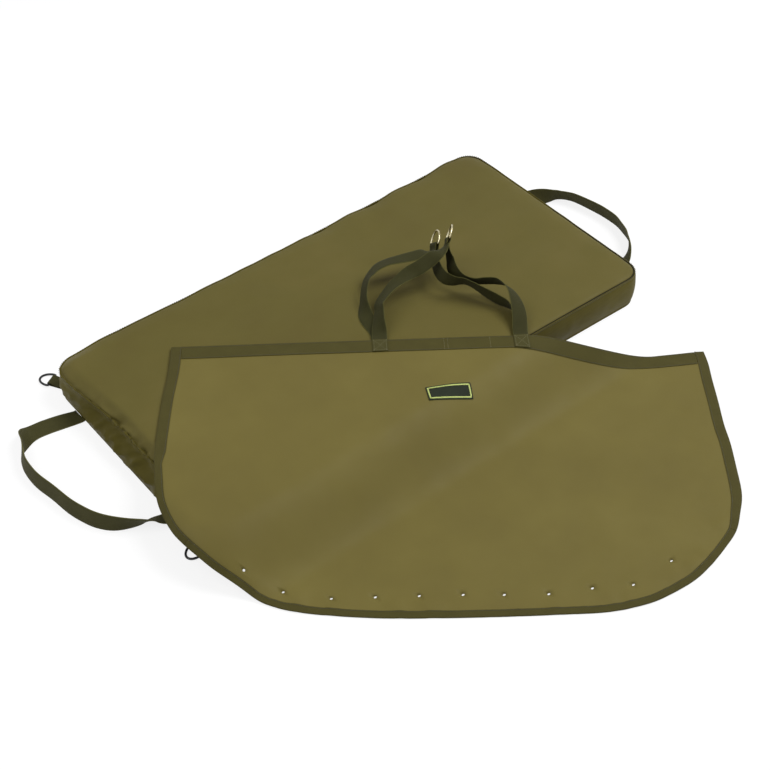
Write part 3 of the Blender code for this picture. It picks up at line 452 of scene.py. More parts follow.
def matCover():
    m = matSettings
    seam = m["seamHeight"]
    counts = [round(m["length"] / m["cell"]), round(m["width"] / m["cell"])] * 2
    longSide, shortSide = (straightX + cornerArc) / wayRound, (straightY + cornerArc) / wayRound
    corners = [0.0, longSide, longSide + shortSide, 2 * longSide + shortSide, 1.0]
    shares = []
    for start, end, count in zip(corners, corners[1:], counts):
        shares += [start + (end - start) * k / count for k in range(count)]
    total = len(shares)
    rings = [(inset * mm, height * mm, grip) for inset, height, grip in m["footRings"]]
    for k in range(m["sideRings"]):
        height = m["sideFoot"] + (seam - m["sideTop"] - m["sideFoot"]) * k / (m["sideRings"] - 1)
        rings.append((m["sideInset"] - m["sideSwell"] * math.sin(math.pi * height / seam), height, 0.0))
    rings += [(inset * mm, seam + height * mm, grip) for inset, height, grip in m["seamRings"]]
    bm = bmesh.new()
    hold = bm.verts.layers.float.new("hold")
    part = bm.faces.layers.int.new("part")
    onTop, onSide, onBase = 0, 1, 2
    levels = []
    for inset, height, grip in rings:
        row = []
        for share in shares:
            point = outlineAt(share, inset)
            vert = bm.verts.new((point.x, point.y, height))
            vert[hold] = grip
            row.append(vert)
        levels.append(row)
    topEdge = len(levels) - 3
    for k, (lower, upper) in enumerate(zip(levels, levels[1:])):
        for n in range(total):
            after = (n + 1) % total
            face = bm.faces.new((lower[n], lower[after], upper[after], upper[n]))
            face[part] = onBase if k < 1 else (onSide if k < topEdge else onTop)
            # Painted shade: along the front the groove's faces get the dark base cloth, so that the seam groove
            # shows dark.
            if k in (topEdge - 1, topEdge) and max(lower[n].co.y, lower[after].co.y) < 0.0:
                if max(lower[n].co.x, lower[after].co.x) > m["paintedGrooveShadeFrom"]:
                    face[part] = onBase

    def fillPanel(edgeRow, heightAt, grip, kind, flip):
        # A grid spread smoothly between the outline's four sides.
        nx, ny = counts[:2]
        back, left, front, right = (
            [edgeRow[(start + k) % total] for k in range(count + 1)]
            for start, count in zip((0, nx, nx + ny, 2 * nx + ny), counts))
        grid = [[None] * (ny + 1) for _ in range(nx + 1)]
        for i in range(nx + 1):
            grid[i][0] = back[i]
            grid[i][ny] = front[nx - i]
        for j in range(ny + 1):
            grid[0][j] = right[ny - j]
            grid[nx][j] = left[j]
        for i in range(1, nx):
            for j in range(1, ny):
                u, v = i / nx, j / ny
                spot = (1 - v) * back[i].co + v * front[nx - i].co + (1 - u) * right[ny - j].co + u * left[j].co
                spot = spot - ((1 - u) * (1 - v) * back[0].co + u * (1 - v) * back[nx].co
                               + (1 - u) * v * front[nx].co + u * v * front[0].co)
                grid[i][j] = bm.verts.new((spot.x, spot.y, heightAt(spot.x, spot.y)))
                grid[i][j][hold] = grip
        for i in range(nx):
            for j in range(ny):
                corners = (grid[i][j], grid[i + 1][j], grid[i + 1][j + 1], grid[i][j + 1])
                bm.faces.new(corners[::-1] if flip else corners)[part] = kind

    def crown(x, y):
        shareX = clamped((m["length"] / 2 - abs(x)) / m["crownShoulder"])
        shareY = clamped((m["width"] / 2 - abs(y)) / m["crownShoulder"])
        rise = math.sin(shareX * math.pi / 2) * math.sin(shareY * math.pi / 2)
        return seam + m["crownFoot"] + (m["crownHeight"] - seam - m["crownFoot"]) * rise

    fillPanel(levels[-1], crown, 0.0, onTop, False)
    fillPanel(levels[0], lambda x, y: 0.0, 1.0, onBase, True)
    return objectFrom("matCover", bm)


def edgeDistance(x, y):
    # How far a point lies inside the mat's outline.
    m = matSettings
    reachX = abs(x) - straightX / 2
    reachY = abs(y) + drawnIn(x, abs(y)) - straightY / 2
    if reachX > 0 and reachY > 0:
        return m["cornerRadius"] - math.hypot(reachX, reachY)
    return m["cornerRadius"] - max(reachX, reachY)


def settleCover(shell):
    # The cover is blown out against its seams, so that it fills and creases as sewn cloth does.
    c = matSettings["settle"]
    seam = matSettings["seamHeight"]
    mesh = shell.data
    hold = np.zeros(len(mesh.vertices))
    mesh.attributes["hold"].data.foreach_get("value", hold)
    rest = vectorsOf(mesh.vertices, "co")
    held = shell.vertex_groups.new(name="held")
    slack = shell.vertex_groups.new(name="slack")
    for k, (x, y, z) in enumerate(rest):
        if hold[k] > 0:
            held.add([k], float(hold[k]), "REPLACE")
        if c["slackFoot"] < z < seam - c["slackTop"]:
            leftEnd = clamped((-x - c["slackFrom"]) / c["slackRun"])
            slack.add([k], c["slackLeast"] + (1 - c["slackLeast"]) * leftEnd, "REPLACE")
    cloth = shell.modifiers.new("coverCloth", "CLOTH")
    for name, value in matSettings["cloth"].items():
        setattr(cloth.settings, name, value)
    cloth.settings.effector_weights.gravity = 0.0
    cloth.point_cache.frame_start = 1
    cloth.point_cache.frame_end = c["frames"]
    for number in range(1, c["frames"] + 1):
        bpy.context.scene.frame_set(number)
    settled = shell.evaluated_get(bpy.context.evaluated_depsgraph_get()).to_mesh()
    shift = vectorsOf(settled.vertices, "co") - rest
    shell.modifiers.clear()
    bpy.context.scene.frame_set(1)
    # The foam holds the cloth back: no point moves further than the caps.
    side = np.clip(shift[:, :2], -c["sideCap"], c["sideCap"])
    rise = np.clip(shift[:, 2], -c["sideCap"], c["topCap"])
    onTop = rest[:, 2] > seam
    side[onTop] *= c["topShare"]
    rise[~onTop] = np.clip(rise[~onTop], -c["sideLift"], c["sideLift"])
    place = rest + np.column_stack([side, rise])
    place[:, 2] = np.maximum(place[:, 2], 0.0)
    mesh.vertices.foreach_set("co", place.ravel())
    mesh.update()
    print("cover settled, moved at most", round(float(np.abs(shift).max()) / mm, 1), "mm before the caps")


def leftSlack(x, y):
    # How slack the cover is at a place: full at the left end's front half, none at its rear corner.
    s = matSettings["slack"]
    near = eased(clamped((-x - s["nearFrom"]) / s["nearRun"]))
    return near, eased(clamped((s["frontFrom"] - y) / s["frontRun"]))


def dragNoise(x, y, z, scales):
    alongX, alongY, withHeight, height, against = scales
    return noiseAt(x * alongX, y * alongY + z * withHeight, z * height - y * against)


def creaseCover(shell):
    # Soft pressed-in seams and drag lines that the settled cloth is too coarse to show. At the
    # left end the cover is slack: the top rolls over and leans in, and the side hangs in folds.
    s, c = matSettings["slack"], matSettings["crease"]
    mesh = shell.data
    place = vectorsOf(mesh.vertices, "co")
    normals = vectorsOf(mesh.vertex_normals, "vector")
    move = np.zeros(len(place))
    drop = np.zeros(len(place))
    lean = np.zeros(len(place))
    seam = matSettings["seamHeight"]
    for k, (x, y, z) in enumerate(place):
        inward = edgeDistance(x, y)
        leftEnd = clamped((-x - c["endFrom"]) / c["endRun"])
        near, front = leftSlack(x, y)
        folds = dragNoise(x, y, z, matSettings["folds"])
        fine = dragNoise(x, y, z, matSettings["fineFolds"])
        drag = (0.5 - abs(folds) * c["foldGain"]) * (0.5 + 0.9 * front) + c["fineGain"] * fine * (0.4 + front)
        if z < seam - c["sideBelow"] and inward < c["sideInside"]:
            fade = math.sin(math.pi * clamped((z - c["sideFoot"]) / (seam - c["sideBelow"])))
            hollow = math.exp(-((z - seam + c["hollowBelow"]) / c["hollowWidth"]) ** 2)
            bulge = math.exp(-((z - c["bulgeHeight"]) / c["bulgeWidth"]) ** 2)
            hang = fade * s["drag"] * drag + c["bulge"] * bulge
            hang -= (c["hollow"] + c["frontHollow"] * front) * hollow
            ripple = fade * (1 - leftEnd) * c["sideRipple"] * noiseAt(x * 60, y * 60, z * 26)
            move[k] = leftEnd * hang + ripple
            drop[k] = s["drop"] * near * z / seam
            lean[k] = s["lean"] * near * front * max(z - s["leanFoot"], 0.0) / (seam - s["leanFoot"])
        else:
            edge = math.exp(-(inward / c["edgeReach"]) ** 2)
            sink = c["sink"] * (c["sinkBase"] + noiseAt(x * 6, y * 6, 9.0)) * (1 - edge)
            puckered = c["pucker"] * noiseAt(x * 34, y * 34, 3.0) * edge
            puckered += c["middle"] * noiseAt(x * 15, y * 15, 4.0)
            rear = clamped((y - c["rearFrom"]) / c["rearRun"]) * math.exp(-(inward / c["rearReach"]) ** 2)
            roll = eased(clamped(1 - inward / s["roll"]))
            move[k] = puckered - sink + c["rearWave"] * rear * noiseAt(x * 17, 0.0, 6.0)
            move[k] += c["rollDrag"] * s["drag"] * drag * leftEnd * roll
            drop[k] = s["drop"] * near * roll
            lean[k] = s["lean"] * near * front * clamped(1 - inward / s["leanReach"])
    place += normals * move[:, None]
    place[:, 0] += lean
    place[:, 2] = np.maximum(place[:, 2] - drop, 0.0)
    mesh.vertices.foreach_set("co", place.ravel())
    mesh.update()


cover = matCover()
settleCover(cover)
for cloth in (matCloth, shadedSideCloth, baseCloth):
    cover.data.materials.append(cloth)
kinds = np.zeros(len(cover.data.polygons), dtype=np.int32)
cover.data.attributes["part"].data.foreach_get("value", kinds)
cover.data.polygons.foreach_set("material_index", kinds)
subdivided(cover)
applyModifiers(cover)
creaseCover(cover)
dropAttributes(cover.data, ["hold", "part"])
cover.vertex_groups.clear()
smoothed(cover)
riding(cover, "mat", ["foam_core", "cover_top_panel", "cover_side_band", "cover_base_panel"])
print("mat cover made:", len(cover.data.polygons), "faces")

seamSettings = {"inset": 0.15 * mm, "below": 2.5 * mm, "steps": 700, "tilt": 0.15}


def coverStitches():
    # One row on the side band, just under the top seam.
    c = seamSettings
    line = []
    for k in range(c["steps"] + 1):
        here = outlineAt(k / c["steps"], c["inset"])
        run = (outlineAt((k + 1) / c["steps"], c["inset"]) - here).normalized()
        near, front = leftSlack(here.x, here.y)
        x = here.x + matSettings["slack"]["lean"] * near * front
        z = matSettings["seamHeight"] - c["below"] - matSettings["slack"]["drop"] * near
        line.append(((x, here.y, z), (run.y, -run.x, c["tilt"])))
    return [line]


# The seam row is sewn in the dark thread, which also paints shade along the seam.
coverSewing = sewStitches("coverSeamStitches", coverStitches(), darkThreadAndShadeLine,
                          Pitch=4.2 * mm, Length=2.6 * mm, Width=0.7 * mm, Rise=0.05 * mm)
riding(coverSewing, "mat")


# The sling: two leaves of cloth sewn together, laid flat and draped off the mat's front edge

slingSettings = {
    "width": 0.894, "depth": 0.519, "turn": math.radians(-36.2), "corner": (-0.2841, 0.1220),
    "topBand": 0.0280, "sideBinding": 0.0165, "rimBinding": 0.0110, "cloth": 0.5 * mm, "wrap": 1.0 * mm,
    "clothShare": 0.8, "leafArea": 0.4258, "drapeStart": 0.0005, "drapeRun": 0.1200, "crownTop": 0.0660,
    "columns": 118, "rows": 66, "holeRadius": 3.2 * mm, "holeShift": 1.6 * mm, "soften": 0.024,
    "holesMm": ((124, 433), (187, 462), (256, 477), (319, 477), (382, 478), (445, 479), (504, 482), (568, 484),
                (632, 477), (692, 474), (755, 434)),
    "wave": {
        "slow": 0.9 * mm, "lowest": -0.4, "middle": 0.35 * mm, "base": 0.45 * mm, "depthShare": 1.02,
        "edgeFade": 0.03, "edgeLeast": 0.35, "pull": 4.0 * mm, "pullFrom": 0.020, "pullWidth": 0.016,
    },
    "leftNarrows": (0.56, 0.62), "rightNarrows": (0.80, 1.00),
}
# Shares of the width and the depth along each edge, traced from the photograph.
mouthShares = [
    (0.000, 0.000), (0.200, 0.000), (0.400, 0.000), (0.540, 0.000), (0.610, 0.001), (0.665, 0.003),
    (0.730, 0.009), (0.800, 0.014), (0.880, 0.018), (0.940, 0.011), (1.000, 0.000),
]
leftSideShares = [
    (0.000, 0.000), (-0.002, 0.106), (-0.009, 0.225), (-0.013, 0.347), (-0.015, 0.447), (-0.011, 0.536),
    (-0.003, 0.624), (0.017, 0.705), (0.040, 0.759),
]
rimShares = [
    (0.040, 0.759), (0.064, 0.799), (0.089, 0.836), (0.134, 0.883), (0.184, 0.934), (0.256, 0.966),
    (0.362, 0.989), (0.457, 0.997), (0.553, 1.001), (0.648, 1.002), (0.729, 1.000), (0.788, 0.981),
    (0.824, 0.957), (0.875, 0.907), (0.911, 0.852), (0.939, 0.797), (0.965, 0.740),
]
rightSideShares = [
    (1.000, 0.000), (1.001, 0.048), (0.999, 0.123), (0.998, 0.229), (0.996, 0.331), (0.998, 0.399),
    (0.996, 0.495), (0.992, 0.605), (0.978, 0.681), (0.965, 0.740),
]
strapThin = 1.2 * mm
clothThin = slingSettings["cloth"]
# Each layer's underside above the mat, from the rear strap's feet to the front strap's feet.
rearFootBottom = -gap
rearBandBottom = rearFootBottom + strapThin + 2 * gap
rearPanelBottom = rearBandBottom + clothThin + gap
frontPanelBottom = rearPanelBottom + clothThin + gap
frontBandBottom = frontPanelBottom + clothThin + gap
frontFootBottom = frontBandBottom + clothThin + gap
frontBandTop = frontBandBottom + clothThin
drapeTop = slingSettings["crownTop"] + 2 * gap
drapeFloor = gap - rearBandBottom
acrossWay = Vector((math.cos(slingSettings["turn"]), math.sin(slingSettings["turn"]), 0.0))
downWay = Vector((math.sin(slingSettings["turn"]), -math.cos(slingSettings["turn"]), 0.0))
slingCorner = Vector((*slingSettings["corner"], 0.0))


def drapeShare(distance):
    return clamped((distance - slingSettings["drapeStart"]) / slingSettings["drapeRun"])


def drapeHeight(distance):
    return drapeTop - (drapeTop - drapeFloor) * eased(drapeShare(distance))


def drapeSlope(distance):
    share = drapeShare(distance)
    return -(drapeTop - drapeFloor) * 6 * share * (1 - share) / slingSettings["drapeRun"]


def makeArcTable(steps=80):
    # The length of cloth used up along the drape, against the distance in plan.
    start = slingSettings["drapeStart"]
    step = slingSettings["drapeRun"] / steps
    used = [0.0]
    for k in range(steps):
        used.append(used[-1] + step * math.hypot(1.0, drapeSlope(start + (k + 0.5) * step)))
    return np.array(used), start + step * np.arange(steps + 1)


arcUsed, arcPlan = makeArcTable()


def planDistance(flatDistance):
    used = flatDistance - slingSettings["drapeStart"]
    if used <= 0.0:
        return flatDistance
    if used >= arcUsed[-1]:
        return arcPlan[-1] + used - arcUsed[-1]
    return float(np.interp(used, arcUsed, arcPlan))


def outsideMat(x, y):
    # How far a place lies outside the mat, and which way is outward there.
    radius = matSettings["cornerRadius"]
    reachX, reachY = abs(x) - straightX / 2, abs(y) - straightY / 2
    beyondX, beyondY = max(reachX, 0.0), max(reachY, 0.0)
    span = math.hypot(beyondX, beyondY)
    signX, signY = math.copysign(1.0, x), math.copysign(1.0, y)
    if span > 0.0:
        return span - radius, Vector((signX * beyondX / span, signY * beyondY / span, 0.0))
    if reachX > reachY:
        return reachX - radius, Vector((signX, 0.0, 0.0))
    return reachY - radius, Vector((0.0, signY, 0.0))


def lengthsAlong(run):
    return np.concatenate([[0.0], np.cumsum(np.linalg.norm(np.diff(run, axis=0), axis=1))])


def evenly(run, steps):
    # The same run as evenly spaced places.
    lengths = lengthsAlong(run)
    wanted = np.linspace(0.0, lengths[-1], steps + 1)
    return np.column_stack([np.interp(wanted, lengths, run[:, i]) for i in (0, 1)])


def smoothThrough(points, steps):
    # A smooth curve through the points, with so many steps from each to the next.
    result = []
    for k in range(len(points) - 1):
        before, start, end = points[max(k - 1, 0)], points[k], points[k + 1]
        after = points[min(k + 2, len(points) - 1)]
        for n in range(steps):
            p = n / steps
            row = []
            for a, b, c, d in zip(before, start, end, after):
                bend = 2 * a - 5 * b + 4 * c - d
                row.append(0.5 * (2 * b + (c - a) * p + bend * p * p + (3 * b - a - 3 * c + d) * p ** 3))
            result.append(tuple(row))
    result.append(tuple(points[-1]))
    return result


def roundedRun(shares, steps):
    # A smooth curve through the outline's shares, evenly spaced, in metres on the flat sling.
    points = [(s * slingSettings["width"], t * slingSettings["depth"]) for s, t in shares]
    return evenly(np.array(smoothThrough(points, 12)), steps)


def makeEdges():
    # The left side, the rim and the right side as one soft outline, cut where they meet.
    fine = 1.0 * mm
    run = roundedRun(leftSideShares + rimShares[1:] + rightSideShares[::-1][1:], 3000)
    run = evenly(run, round(lengthsAlong(run)[-1] / fine))
    reach = round(slingSettings["soften"] / fine)
    longer = np.vstack([2 * run[0] - run[reach:0:-1], run, 2 * run[-1] - run[-2:-reach - 2:-1]])
    weights = np.hanning(2 * reach + 3)[1:-1]
    soft = np.column_stack([np.convolve(longer[:, i], weights / weights.sum(), "valid") for i in (0, 1)])
    size = np.array([slingSettings["width"], slingSettings["depth"]])
    first, second = (int(np.argmin(np.linalg.norm(run - np.array(side[-1]) * size, axis=1)))
                     for side in (leftSideShares, rightSideShares))
    return soft[:first + 1], soft[first:second + 1], soft[second:][::-1]


def makeRimTree(run):
    # The rim's places, to look up how near it a place is.
    tree = kdtree.KDTree(len(run))
    for k, (s, t) in enumerate(run):
        tree.insert((s, t, 0.0), k)
    tree.balance()
    return tree


rimStep = 2 * mm
leftLine, rimLine, rightLine = makeEdges()
rimTree = makeRimTree(evenly(rimLine, round(lengthsAlong(rimLine)[-1] / rimStep)))
mouthRun = roundedRun(mouthShares, 300)


def mouthSag(s):
    # How far the mouth hangs below its straight line, where it has slid off the mat.
    return float(np.interp(s, mouthRun[:, 0], mouthRun[:, 1]))


def clothWave(s, t):
    # How far the sling stands above where it rests: slow billows, and small pulls at its
    # sewn edges. It is the same for every layer, so that they stay apart.
    w = slingSettings["wave"]
    slow = noiseAt(s * 5.0, t * 6.0, 1.7)
    rise = w["slow"] * max(slow, w["lowest"]) + w["middle"] * noiseAt(s * 13.0, t * 11.0, 5.1)
    edge = min(t, slingSettings["depth"] * w["depthShare"] - t)
    rise = max(rise + w["base"], 0.0) * min(max(edge / w["edgeFade"], w["edgeLeast"]), 1.0)
    spot, number, away = rimTree.find((s, t, 0.0))
    pull = noiseAt(number * rimStep * 36.0, away * 11.0, 8.3)
    sharp = noiseAt(number * rimStep * 75.0, away * 20.0, 2.9)
    band = math.exp(-((away - w["pullFrom"]) / w["pullWidth"]) ** 2)
    return rise + w["pull"] * max(pull + 0.5 * sharp, 0.0) * band


def drape(s, t, lift, wave=True):
    # Where a place of the flat sling comes to lie, so far above the mat.
    place = slingCorner + acrossWay * s + downWay * t
    flatDistance, outward = outsideMat(place.x, place.y)
    distance = planDistance(flatDistance)
    place -= outward * (flatDistance - distance)
    place.z = drapeHeight(distance)
    slope = drapeSlope(distance)
    normal = Vector((-slope * outward.x, -slope * outward.y, 1.0)).normalized()
    return place + normal * (lift + (clothWave(s, t) if wave else 0.0))


def drapeNormal(s, t, step=1.5 * mm):
    a = drape(s + step, t, 0.0) - drape(s - step, t, 0.0)
    b = drape(s, t + step, 0.0) - drape(s, t - step, 0.0)
    return b.cross(a).normalized()


def makeFlatGrid(columns, rows):
    # The sling's outline filled between its four sides: grid[i, j] = (s, t).
    left, right, rim = evenly(leftLine, rows), evenly(rightLine, rows), evenly(rimLine, columns)
    top = roundedRun(mouthShares, columns)
    grid = np.zeros((columns + 1, rows + 1, 2))
    for i in range(columns + 1):
        for j in range(rows + 1):
            u, v = i / columns, j / rows
            corners = ((1 - u) * (1 - v) * left[0] + u * (1 - v) * right[0]
                       + (1 - u) * v * left[-1] + u * v * right[-1])
            grid[i, j] = (1 - v) * top[i] + v * rim[i] + (1 - u) * left[j] + u * right[j] - corners
    return grid


flatGrid = makeFlatGrid(slingSettings["columns"], slingSettings["rows"])


def slingLeaf(name, bottom, nodeName, shift):
    # One leaf with its drain holes; shift moves the holes, so that the leaves' holes don't quite meet.
    columns, rows = slingSettings["columns"], slingSettings["rows"]
    around = [(i, j) for i in (-1, 0, 1) for j in (-1, 0, 1) if i or j]
    flats = flatGrid.copy()
    skip = set()
    for hole in slingSettings["holesMm"]:
        target = np.array(hole) * mm + shift
        away = np.linalg.norm(flats - target, axis=2)
        i, j = np.unravel_index(np.argmin(away), away.shape)
        for di, dj in around:
            out = flats[i + di, j + dj] - flats[i, j]
            flats[i + di, j + dj] = target + out / np.linalg.norm(out) * slingSettings["holeRadius"]
        skip |= {(i + di, j + dj) for di in (-1, 0) for dj in (-1, 0)}
    bm = bmesh.new()
    verts = [[bm.verts.new(drape(s, t, bottom + clothThin / 2)) for s, t in column] for column in flats]
    for i in range(columns):
        for j in range(rows):
            if (i, j) not in skip:
                bm.faces.new((verts[i][j], verts[i][j + 1], verts[i + 1][j + 1], verts[i + 1][j]))
    loose = [vert for vert in bm.verts if not vert.link_faces]
    bmesh.ops.delete(bm, geom=loose, context="VERTS")
    shell = objectFrom(name, bm, slingCloth, turned=False)
    subdivided(shell).boundary_smooth = "PRESERVE_CORNERS"
    wall = shell.modifiers.new("clothWall", "SOLIDIFY")
    wall.thickness = clothThin * slingSettings["clothShare"]
    wall.offset = 0.0
    applyModifiers(shell)
    return riding(smoothed(shell), "sling", [nodeName])


rearLeaf = slingLeaf("slingRearLeaf", rearPanelBottom, "sling_rear_panel", slingSettings["holeShift"])
frontLeaf = slingLeaf("slingFrontLeaf", frontPanelBottom, "sling_front_panel", 0.0)
print("sling leaves made:", len(frontLeaf.data.polygons), "faces each")


# Flat tapes and webbing, with UVs in metres

tapeSettings = {"corner": 0.45, "cornerSteps": 4, "sharp": math.radians(50), "bandColumns": 150, "bandRows": 8,
                "sideSteps": 90, "rimSteps": 170, "rimLap": 0.06, "seamWidth": 1.0 * mm}


def newTape():
    bm = bmesh.new()
    return bm, bm.loops.layers.uv.new("webUV")


def skin(bm, rings, uv=None, uvAt=None, closed=False):
    # Faces from each ring of verts to the next; uvAt gives the UV at a place along a ring and a ring.
    count = len(rings[0])
    for k in range(len(rings) if closed else len(rings) - 1):
        here, there = rings[k], rings[(k + 1) % len(rings)]
        for n in range(count):
            after = (n + 1) % count
            face = bm.faces.new((here[n], here[after], there[after], there[n]))
            if uv:
                for loop, (a, b) in zip(face.loops, ((n, k), (n + 1, k), (n + 1, k + 1), (n, k + 1))):
                    loop[uv].uv = uvAt(a, b)


def capEnds(bm, rings, uv, along):
    for ring, v in zip((rings[0][::-1], rings[-1]), along):
        for loop in bm.faces.new(ring).loops:
            loop[uv].uv = (0.0, v)


def sweepTape(name, stations, width, thickness, material):
    # A rounded section swept through stations, rows of (centre, across, face). u runs across
    # the tape and v along it.
    corner = thickness * tapeSettings["corner"]
    side = []
    for k in range(tapeSettings["cornerSteps"]):
        angle = -math.pi / 2 + math.pi * k / (tapeSettings["cornerSteps"] - 1)
        side.append((width / 2 - corner + corner * math.cos(angle), thickness / 2 * math.sin(angle)))
    flat = [0.6 * width / 2, 0.2 * width / 2]
    flat += [-x for x in flat[::-1]]
    loop = side + [(x, thickness / 2) for x in flat] + [(-x, y) for x, y in side[::-1]]
    loop += [(-x, -thickness / 2) for x in flat]
    bm, uv = newTape()
    rings = []
    for centre, across, face in stations:
        rings.append([bm.verts.new(centre + across * x + face * y) for x, y in loop])
    runs = [0.0]
    for here, there in zip(stations, stations[1:]):
        runs.append(runs[-1] + (there[0] - here[0]).length)
    skin(bm, rings, uv, lambda n, k: (loop[n % len(loop)][0], runs[k]))
    capEnds(bm, rings, uv, (runs[0], runs[-1]))
    return smoothed(objectFrom(name, bm, material), tapeSettings["sharp"])


def plateOn(name, flats, bottom, thickness, material, wave=True):
    # A grid of flat places made a thin closed plate on the draped sling.
    columns, rows = len(flats), len(flats[0])
    bm, uv = newTape()
    low, high = ([[bm.verts.new(drape(s, t, lift, wave)) for s, t in column] for column in flats]
                 for lift in (bottom, bottom + thickness))

    def addFace(corners, ids):
        for loop, (i, j) in zip(bm.faces.new(corners).loops, ids):
            loop[uv].uv = (flats[i][j][1], flats[i][j][0])

    for i in range(columns - 1):
        for j in range(rows - 1):
            ids = ((i, j), (i + 1, j), (i + 1, j + 1), (i, j + 1))
            addFace([high[a][b] for a, b in ids], ids)
            addFace([low[a][b] for a, b in ids[::-1]], ids[::-1])
    border = [(i, 0) for i in range(columns)] + [(columns - 1, j) for j in range(1, rows)]
    border += [(i, rows - 1) for i in range(columns - 2, -1, -1)] + [(0, j) for j in range(rows - 2, 0, -1)]
    for (iA, jA), (iB, jB) in zip(border, border[1:] + border[:1]):
        ids = ((iA, jA), (iB, jB), (iB, jB), (iA, jA))
        addFace([low[iA][jA], low[iB][jB], high[iB][jB], high[iA][jA]], ids)
    return smoothed(objectFrom(name, bm, material), tapeSettings["sharp"])


def topBand(name, bottom, nodeName):
    # Webbing sewn along the mouth, between the two side bindings.
    inset = slingSettings["sideBinding"] + gap
    columns, rows = tapeSettings["bandColumns"], tapeSettings["bandRows"]
    flats = []
    for i in range(columns + 1):
        s = inset + (slingSettings["width"] - 2 * inset) * i / columns
        flats.append([(s, mouthSag(s) + slingSettings["topBand"] * j / rows) for j in range(rows + 1)])
    return riding(plateOn(name, flats, bottom, clothThin, bandTape), "sling", [nodeName])


rearBand = topBand("slingRearTopBand", rearBandBottom, "sling_rear_top_band")
frontBand = topBand("slingFrontTopBand", frontBandBottom, "sling_front_top_band")


def foldedBinding(name, edge, widths, nodeName):
    # Tape folded round an edge of both leaves. edge: places from one end to the other, the
    # sling on its left, with one more place before and after that only give the direction;
    # widths: how much of the leaf it covers at each place.
    low, high, thin, wrap = rearBandBottom, frontBandTop, clothThin, slingSettings["wrap"]
    middle = (low + high) / 2
    bm, uv = newTape()
    rings = []
    runs = [0.0]
    for k, width in enumerate(widths):
        before, here, after = edge[k], edge[k + 1], edge[k + 2]
        way = (after - before) / np.linalg.norm(after - before)
        outward = np.array([way[1], -way[0]])
        if k:
            runs.append(runs[-1] + float(np.linalg.norm(here - before)))
        outer = [(-share * width, high) for share in (1, 0.66, 0.33, 0)]
        outer += [(wrap * 0.6, high - thin * 0.5), (wrap, middle), (wrap * 0.6, low + thin * 0.5)]
        outer += [(-share * width, low) for share in (0, 0.33, 0.66, 1)]
        inner = [(-share * width, low + thin) for share in (1, 0.5, 0)] + [(wrap * 0.15, middle)]
        inner += [(-share * width, high - thin) for share in (0, 0.5, 1)]
        section = outer + inner
        flats = [(here + outward * out, lift) for out, lift in section]
        rings.append([bm.verts.new(drape(s, t, lift)) for (s, t), lift in flats])
    spreads = [0.0]
    for (a, b), (c, d) in zip(section, section[1:]):
        spreads.append(spreads[-1] + math.hypot(c - a, d - b))
    spreads.append(spreads[-1] + tapeSettings["seamWidth"])
    skin(bm, rings, uv, lambda n, k: (spreads[n], runs[k]))
    capEnds(bm, rings, uv, (0.0, 0.0))
    shell = smoothed(objectFrom(name, bm, bandTape), tapeSettings["sharp"])
    return riding(shell, "sling", [nodeName])


leftEdge = evenly(leftLine, tapeSettings["sideSteps"])
rightEdge = evenly(rightLine, tapeSettings["sideSteps"])
rimEdge = evenly(rimLine, tapeSettings["rimSteps"])


def sideWidths(count, narrowFrom, narrowTo):
    # From the mouth down, the side binding narrows to the rim's tape between two shares of its run.
    part = np.clip((np.linspace(0.0, 1.0, count) - narrowFrom) / (narrowTo - narrowFrom), 0.0, 1.0)
    return slingSettings["sideBinding"] + (slingSettings["rimBinding"] - slingSettings["sideBinding"]) * part


leftWidths = sideWidths(len(leftEdge), *slingSettings["leftNarrows"])
rightWidths = sideWidths(len(rightEdge), *slingSettings["rightNarrows"])
rimWidths = np.full(len(rimEdge), slingSettings["rimBinding"])
leftGuided = np.vstack([rimEdge[1], leftEdge[::-1], 2 * leftEdge[0] - leftEdge[1]])
rightGuided = np.vstack([2 * rightEdge[0] - rightEdge[1], rightEdge, rimEdge[-2]])
# The rim's tape starts a little after each side's tape ends.
rimRun = rimEdge[::-1].copy()
rimRun[0] += (rimRun[1] - rimRun[0]) * tapeSettings["rimLap"]
rimRun[-1] += (rimRun[-2] - rimRun[-1]) * tapeSettings["rimLap"]
rimGuided = np.vstack([rightEdge[-2], rimRun, leftEdge[-2]])
leftBinding = foldedBinding("slingLeftBinding", leftGuided, leftWidths[::-1], "sling_left_binding")
rightBinding = foldedBinding("slingRightBinding", rightGuided, rightWidths, "sling_right_binding")
rimBinding = foldedBinding("slingRimBinding", rimGuided, rimWidths, "sling_rim_binding")


# The label patch, left blank: dark twill inside a raised lime border

patchSettings = {"centre": (0.440, 0.120), "width": 0.072, "height": 0.027, "tilt": math.radians(-9),
                 "columns": 24, "rows": 10, "thickness": 0.8 * mm, "edge": 1.8 * mm, "border": 2.6 * mm,
                 "cordLift": 0.2 * mm, "cordRise": 0.5 * mm, "longSteps": 30, "shortSteps": 10, "sides": 10,
                 "threadAcross": 0.5 * mm, "threadAlong": 1.2 * mm}


def patchPlace(x, y):
    p = patchSettings
    cosine, sine = math.cos(p["tilt"]), math.sin(p["tilt"])
    return (p["centre"][0] + x * cosine - y * sine, p["centre"][1] + x * sine + y * cosine)


